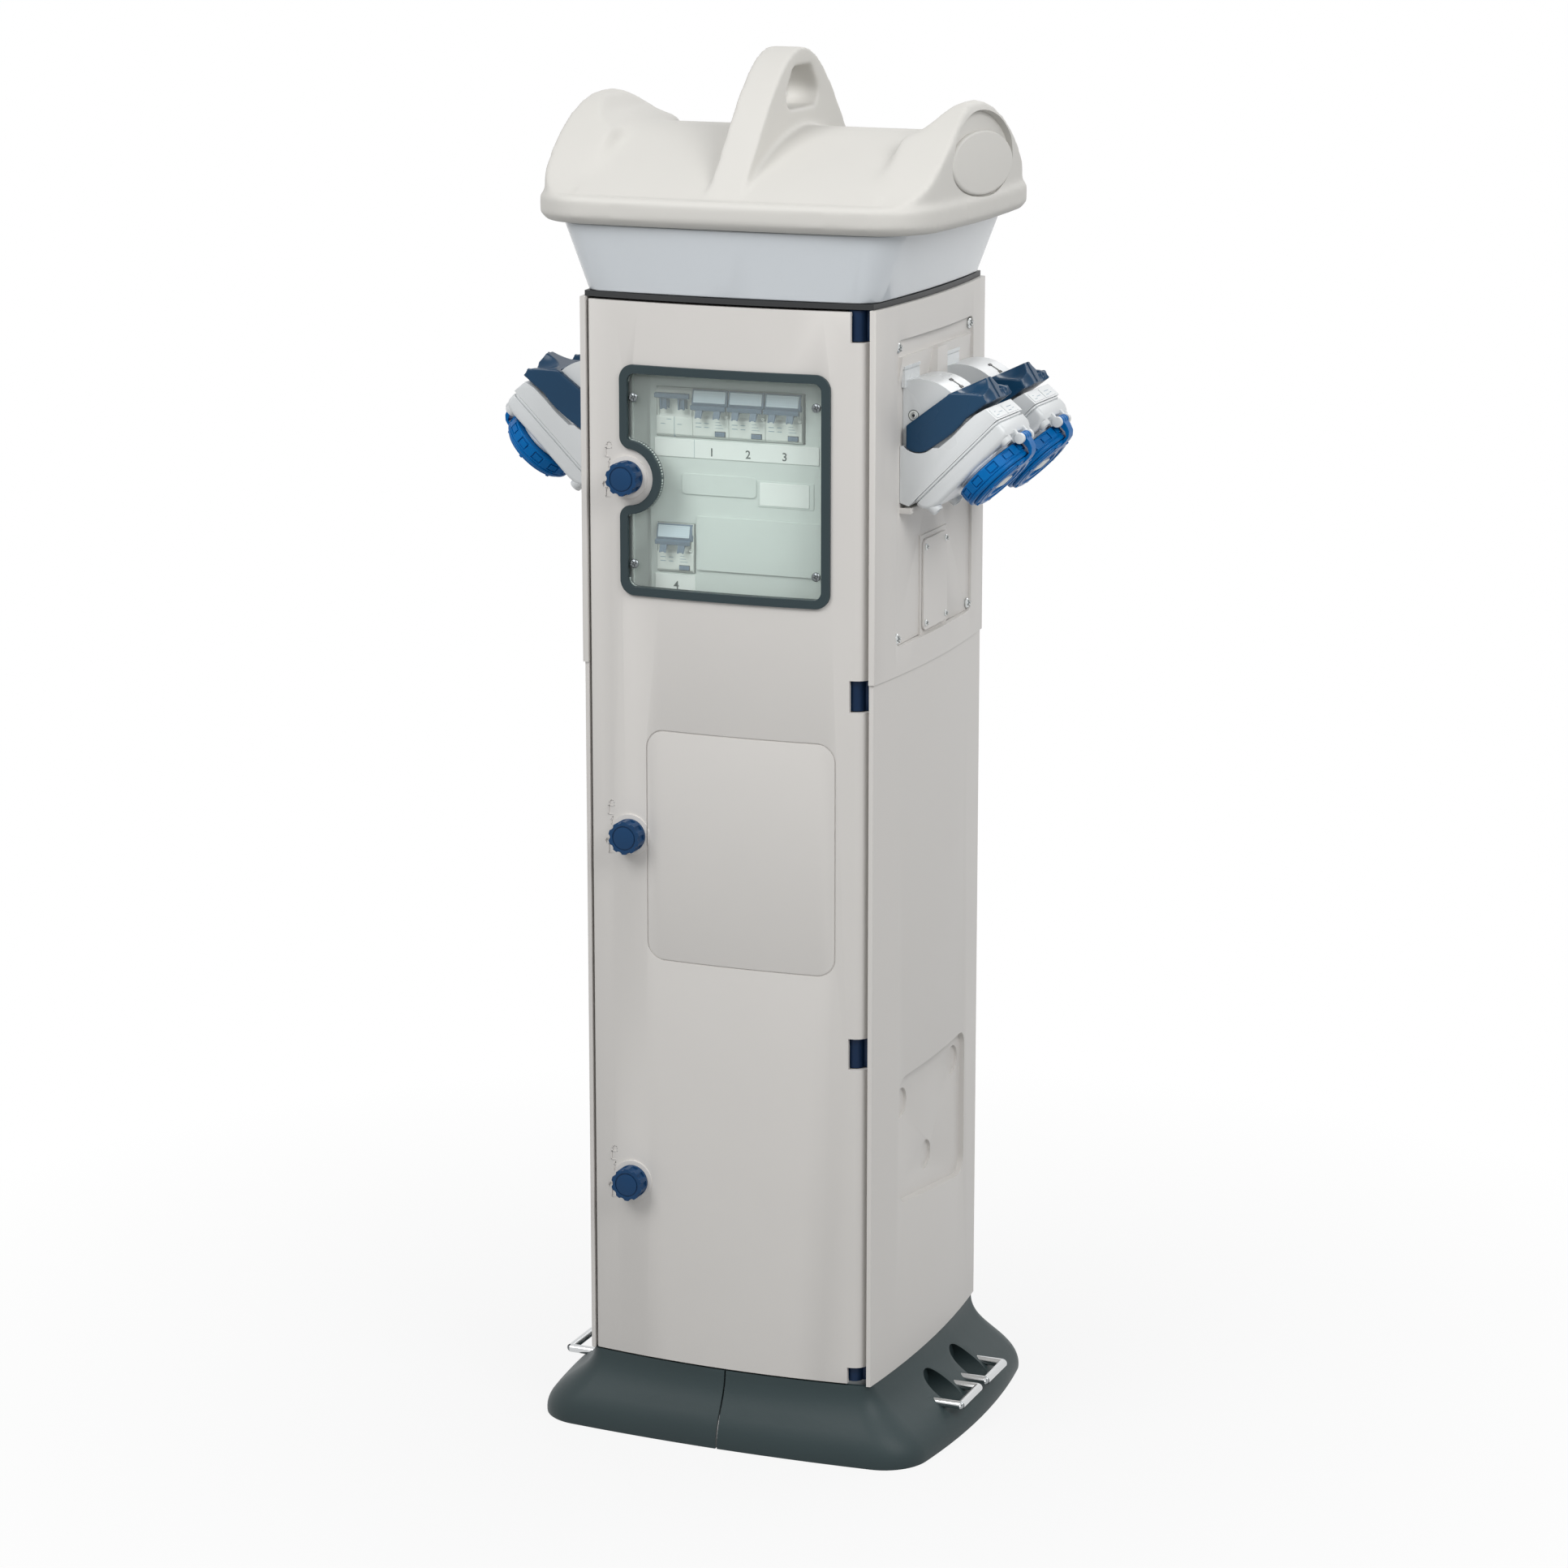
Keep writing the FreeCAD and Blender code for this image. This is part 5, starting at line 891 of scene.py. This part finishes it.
def levers():
    """The lifting lever: two lens-shaped arms and a grip whose crest falls away in hollows to both sides."""
    sole = [(19.5 * math.cos(math.radians(turn)), 19.5 * math.sin(math.radians(turn)))
            for turn in (-125, -115, -105, -95, -85, -75, -65, -55, -48)]
    heel, tip, peak, bend = (45.4, 13.7), (66.1, 29.4), (54.9, 47.5), (30.5, 35.6)
    front = [heel, (60, 24.6), (63.5, 30), (62.0, 35), (56, 36.2), (44, 36.4)]
    arm = sole + [(23.4, -7.5), (33, 0.0), (39.5, 6.3)] + front + [(36, 36.0), bend, (sole[0][0], 4.2)]
    work = bmesh.new()
    for start, end in ((-SOCKET_HALF, 0.4 - SOCKET_HALF + 6.2), (SOCKET_HALF - 6.6, SOCKET_HALF)):
        slab(work, [(x, start, z) for x, z in arm], (0, end - start, 0))
    arms = drawn(work, "lever")
    work = bmesh.new()
    wing = front + [(35.5, 36.0), (40, 25)]
    slab(work, [(x, -SOCKET_HALF, z) for x, z in wing], (0, 2 * SOCKET_HALF, 0))
    wing = drawn(work, "lever")
    crest = bmesh.new()
    slab(crest, [(28, -SOCKET_HALF, 24), (28, SOCKET_HALF, 24), (28, SOCKET_HALF, 35.8), (28, 6, peak[1]),
                 (28, -6, peak[1]), (28, -SOCKET_HALF, 35.8)], (42, 0, 0))
    for (x, z), (way_x, way_z) in ((peak, (-0.438, 0.899)), (tip, (0.85, 0.526)), (heel, (0.604, -0.797))):
        cut = bmesh.ops.bisect_plane(crest, geom=crest.verts[:] + crest.edges[:] + crest.faces[:], dist=0.001,
                                     plane_co=(x, 0, z), plane_no=(way_x, 0, way_z), clear_outer=True)
        rim = [item for item in cut["geom_cut"] if isinstance(item, bmesh.types.BMEdge)]
        bmesh.ops.holes_fill(crest, edges=rim)
    crest = drawn(crest, "lever")
    tool = bmesh.new()
    end, room = DRUM_HALF + 0.4, DRUM_RADIUS + 0.9
    turned(tool, [(-end, TIP), (-end, room), (end, room), (end, TIP)], axis=ACROSS, steps=72)
    carve(crest, drawn(tool, "lever"))
    for side in (-1, 1):
        for centre, size in (((51, side * 26, 52), (24, 20, 18.5)), ((72, side * 21.5, 38), (14, 17, 14))):
            for shape in (crest, wing):
                tool = bmesh.new()
                bmesh.ops.create_uvsphere(tool, u_segments=32, v_segments=20, radius=1,
                                          matrix=Matrix.Translation(centre) @ Matrix.Diagonal((*size, 1)))
                carve(shape, drawn(tool, "lever"))
    obj = joined(joined(arms, crest), wing)
    softened(obj, LEVER_CELL, LEVER_ROUNDS)
    work = bmesh.new()
    for y in (-1.1, 0.5):
        slab(work, [(54.4, y, 46.6), (55.6, y, 47.6), (66.2, y, 30.2), (65.2, y, 29.2)], (0, 0.6, 0))
    joined(obj, drawn(work, "lever"))
    four(obj, "lever_shell_%d", at_socket, "lever_%d", "socket_lever_%d")


def plug_rings():
    """The bayonet ring with its raised pads and stepped rim."""
    back, front, wide = RING_BACK, RING_BACK - RING_LONG, RING_RADIUS
    work = bmesh.new()
    turned(work, [(back, wide - 6.3), (back, wide - 0.9), (back - 0.7, wide), (back - 1.8, wide),
                  (back - 1.8, wide - 1.1), (back - 9.4, wide - 1.1), (back - 9.4, wide), (back - 10.6, wide),
                  (back - 10.6, wide - 1.0), (back - 11.6, wide - 1.0), (back - 11.6, wide - 0.2),
                  (front + 1, wide - 0.6), (front, wide - 2.0), (front, wide - 6.3)], MOUTH, steps=72,
           closed=True)
    for n in range(PADS):
        place = Matrix.Translation(MOUTH) @ Matrix.Rotation(math.radians(360 / PADS * n + 6), 4, "Z")
        inset = 1.2 if n % 2 else -0.5
        block(work, (wide - 3, wide), (-4.2, 4.2), (back - 9.4 + inset, back - 1.8 - inset), place)
    four(drawn(work, "ring"), "ring_shell_%d", at_cover, "ring_%d", "lid_ring_%d", bevel=0.35)


def plug_lids():
    """The flap on the ring: stepped rings round a bare plate, and a narrow arm to its ribbed hinge."""
    back = FLAP_BACK
    work = bmesh.new()
    turned(work, [(back, TIP), (back, 33), (back - 1.6, 33), (back - 2.6, 32), (back - 2.8, 29.6),
                  (back - 3.8, 28.8), (back - 3.8, 25.4), (back - 2.4, 24.6), (back - 2.2, 20.4),
                  (back - 3.3, 19.8), (back - 3.3, 16.4), (back - 1.8, 15.6), (back - 1.7, TIP)], MOUTH,
           steps=72)
    turned(work, [(back + 0.5, 26.6), (back + 0.5, 29.7), (RING_BACK, 29.7), (RING_BACK, 26.6)], MOUTH,
           steps=64, closed=True)
    for n in range(6):
        place = Matrix.Translation(MOUTH) @ Matrix.Rotation(math.radians(60 * n + 30), 4, "Z")
        block(work, (25, 32.4), (-1.6, 1.6), (back - 3.6, back - 1), place)
    near, far, root = HINGE_ALONG - 2.8, HINGE_ALONG + 2.8, RING_ALONG + 20
    arm = [(root, back - 3.7), (near - 5.7, back - 3.7), (near - 0.7, back - 2.5), (far - 2.3, back + 1.1),
           (far, back + 7.3), (far, HINGE_OUT), (near, HINGE_OUT), (near, back + 3.8), (near - 2.3, back - 0.5),
           (root, back - 0.5)]
    slab(work, [(x, -6, z) for x, z in arm], (0, 12, 0))
    turned(work, [(-8.8, 2.2), (-8.8, 3.6), (-8.0, 4.4), (8.0, 4.4), (8.8, 3.6), (8.8, 2.2)], HINGE, ACROSS,
           steps=28, closed=True)
    for y in (-5.6, 0, 5.6):
        rib = [(y - 0.9, 2.2), (y - 0.9, 4.8), (y + 0.9, 4.8), (y + 0.9, 2.2)]
        turned(work, rib, HINGE, ACROSS, steps=28, closed=True)
    four(drawn(work, "ring"), "flap_shell_%d", at_cover, "socket_lid_%d", "socket_lid_%d", bevel=0.35)
    work = bmesh.new()
    left, right, level = RING_ALONG - 6.5, RING_ALONG + 6.5, back - 1.6
    slab(work, [(left, -12, level), (right, -12, level), (right, 12, level), (left, 12, level)],
         (0, 0, -1.5), 4.0)
    four(drawn(work, "device"), "flap_plate_%d", at_cover, "socket_lid_%d", bevel=0.3)


def sockets():
    """The four sockets with their covers, levers, rings and flaps."""
    socket_cover()
    socket_body()
    clone("socket_inserts", M["insert"], 0.4)
    levers()
    plug_rings()
    plug_lids()


# Column, door, foot and the pieces inside
def shells():
    """The solids that show their own form: each gets its material, and its edges are rounded."""
    for node, mat, bevel, segments in (("front_door", "column", 0.9, 3), ("side_panels", "column", 1.0, 3),
                                       ("back_panel", "column", 0.6, 2), ("socket_frames", "column", 1.3, 3),
                                       ("socket_panels", "column", 0.8, 2), ("blank_plates", "column", 0.7, 2),
                                       ("skirts", "foot", 1.6, 3), ("hinge_brackets", "hinge", 0.8, 2),
                                       ("window_gasket", "gasket", 2.2, 4), ("cable_glands", "black", 0.8, 2),
                                       ("terminal_block", "grey", 0.6, 2), ("base_frame", "steel", 0.6, 2),
                                       ("lamp_holder", "device", 0.8, 2)):
        clone(node, M[mat], bevel, segments)
    for name in ("upper", "middle", "lower"):
        clone("knob_" + name, M["knob"], 0.7, 3)
        clone("latch_cam_" + name, M["steel"], 0.5, 2)


camera()
studio()
floor()
lid()
clone("diffuser", M["opal"], 2.2, 4)
shells()
emblems()
switch_nose()
breakers()
handles()
test_buttons()
device_board()
all_screws()
sockets()
# The top frame is painted black: painted shade of the gap between the light ring and the door
for bare, finish in (("cord_hooks", "bar"), ("hinge_pins", "screw"), ("bottom_plate", "steel"),
                     ("din_rails", "steel"), ("stop_frame", "painted"), ("uprights", "painted"),
                     ("top_frame", "black"), ("door_seal", "seal"), ("window_pane", "pane"),
                     ("lamp_bulb", "lampware")):
    paint(bare, M[finish])
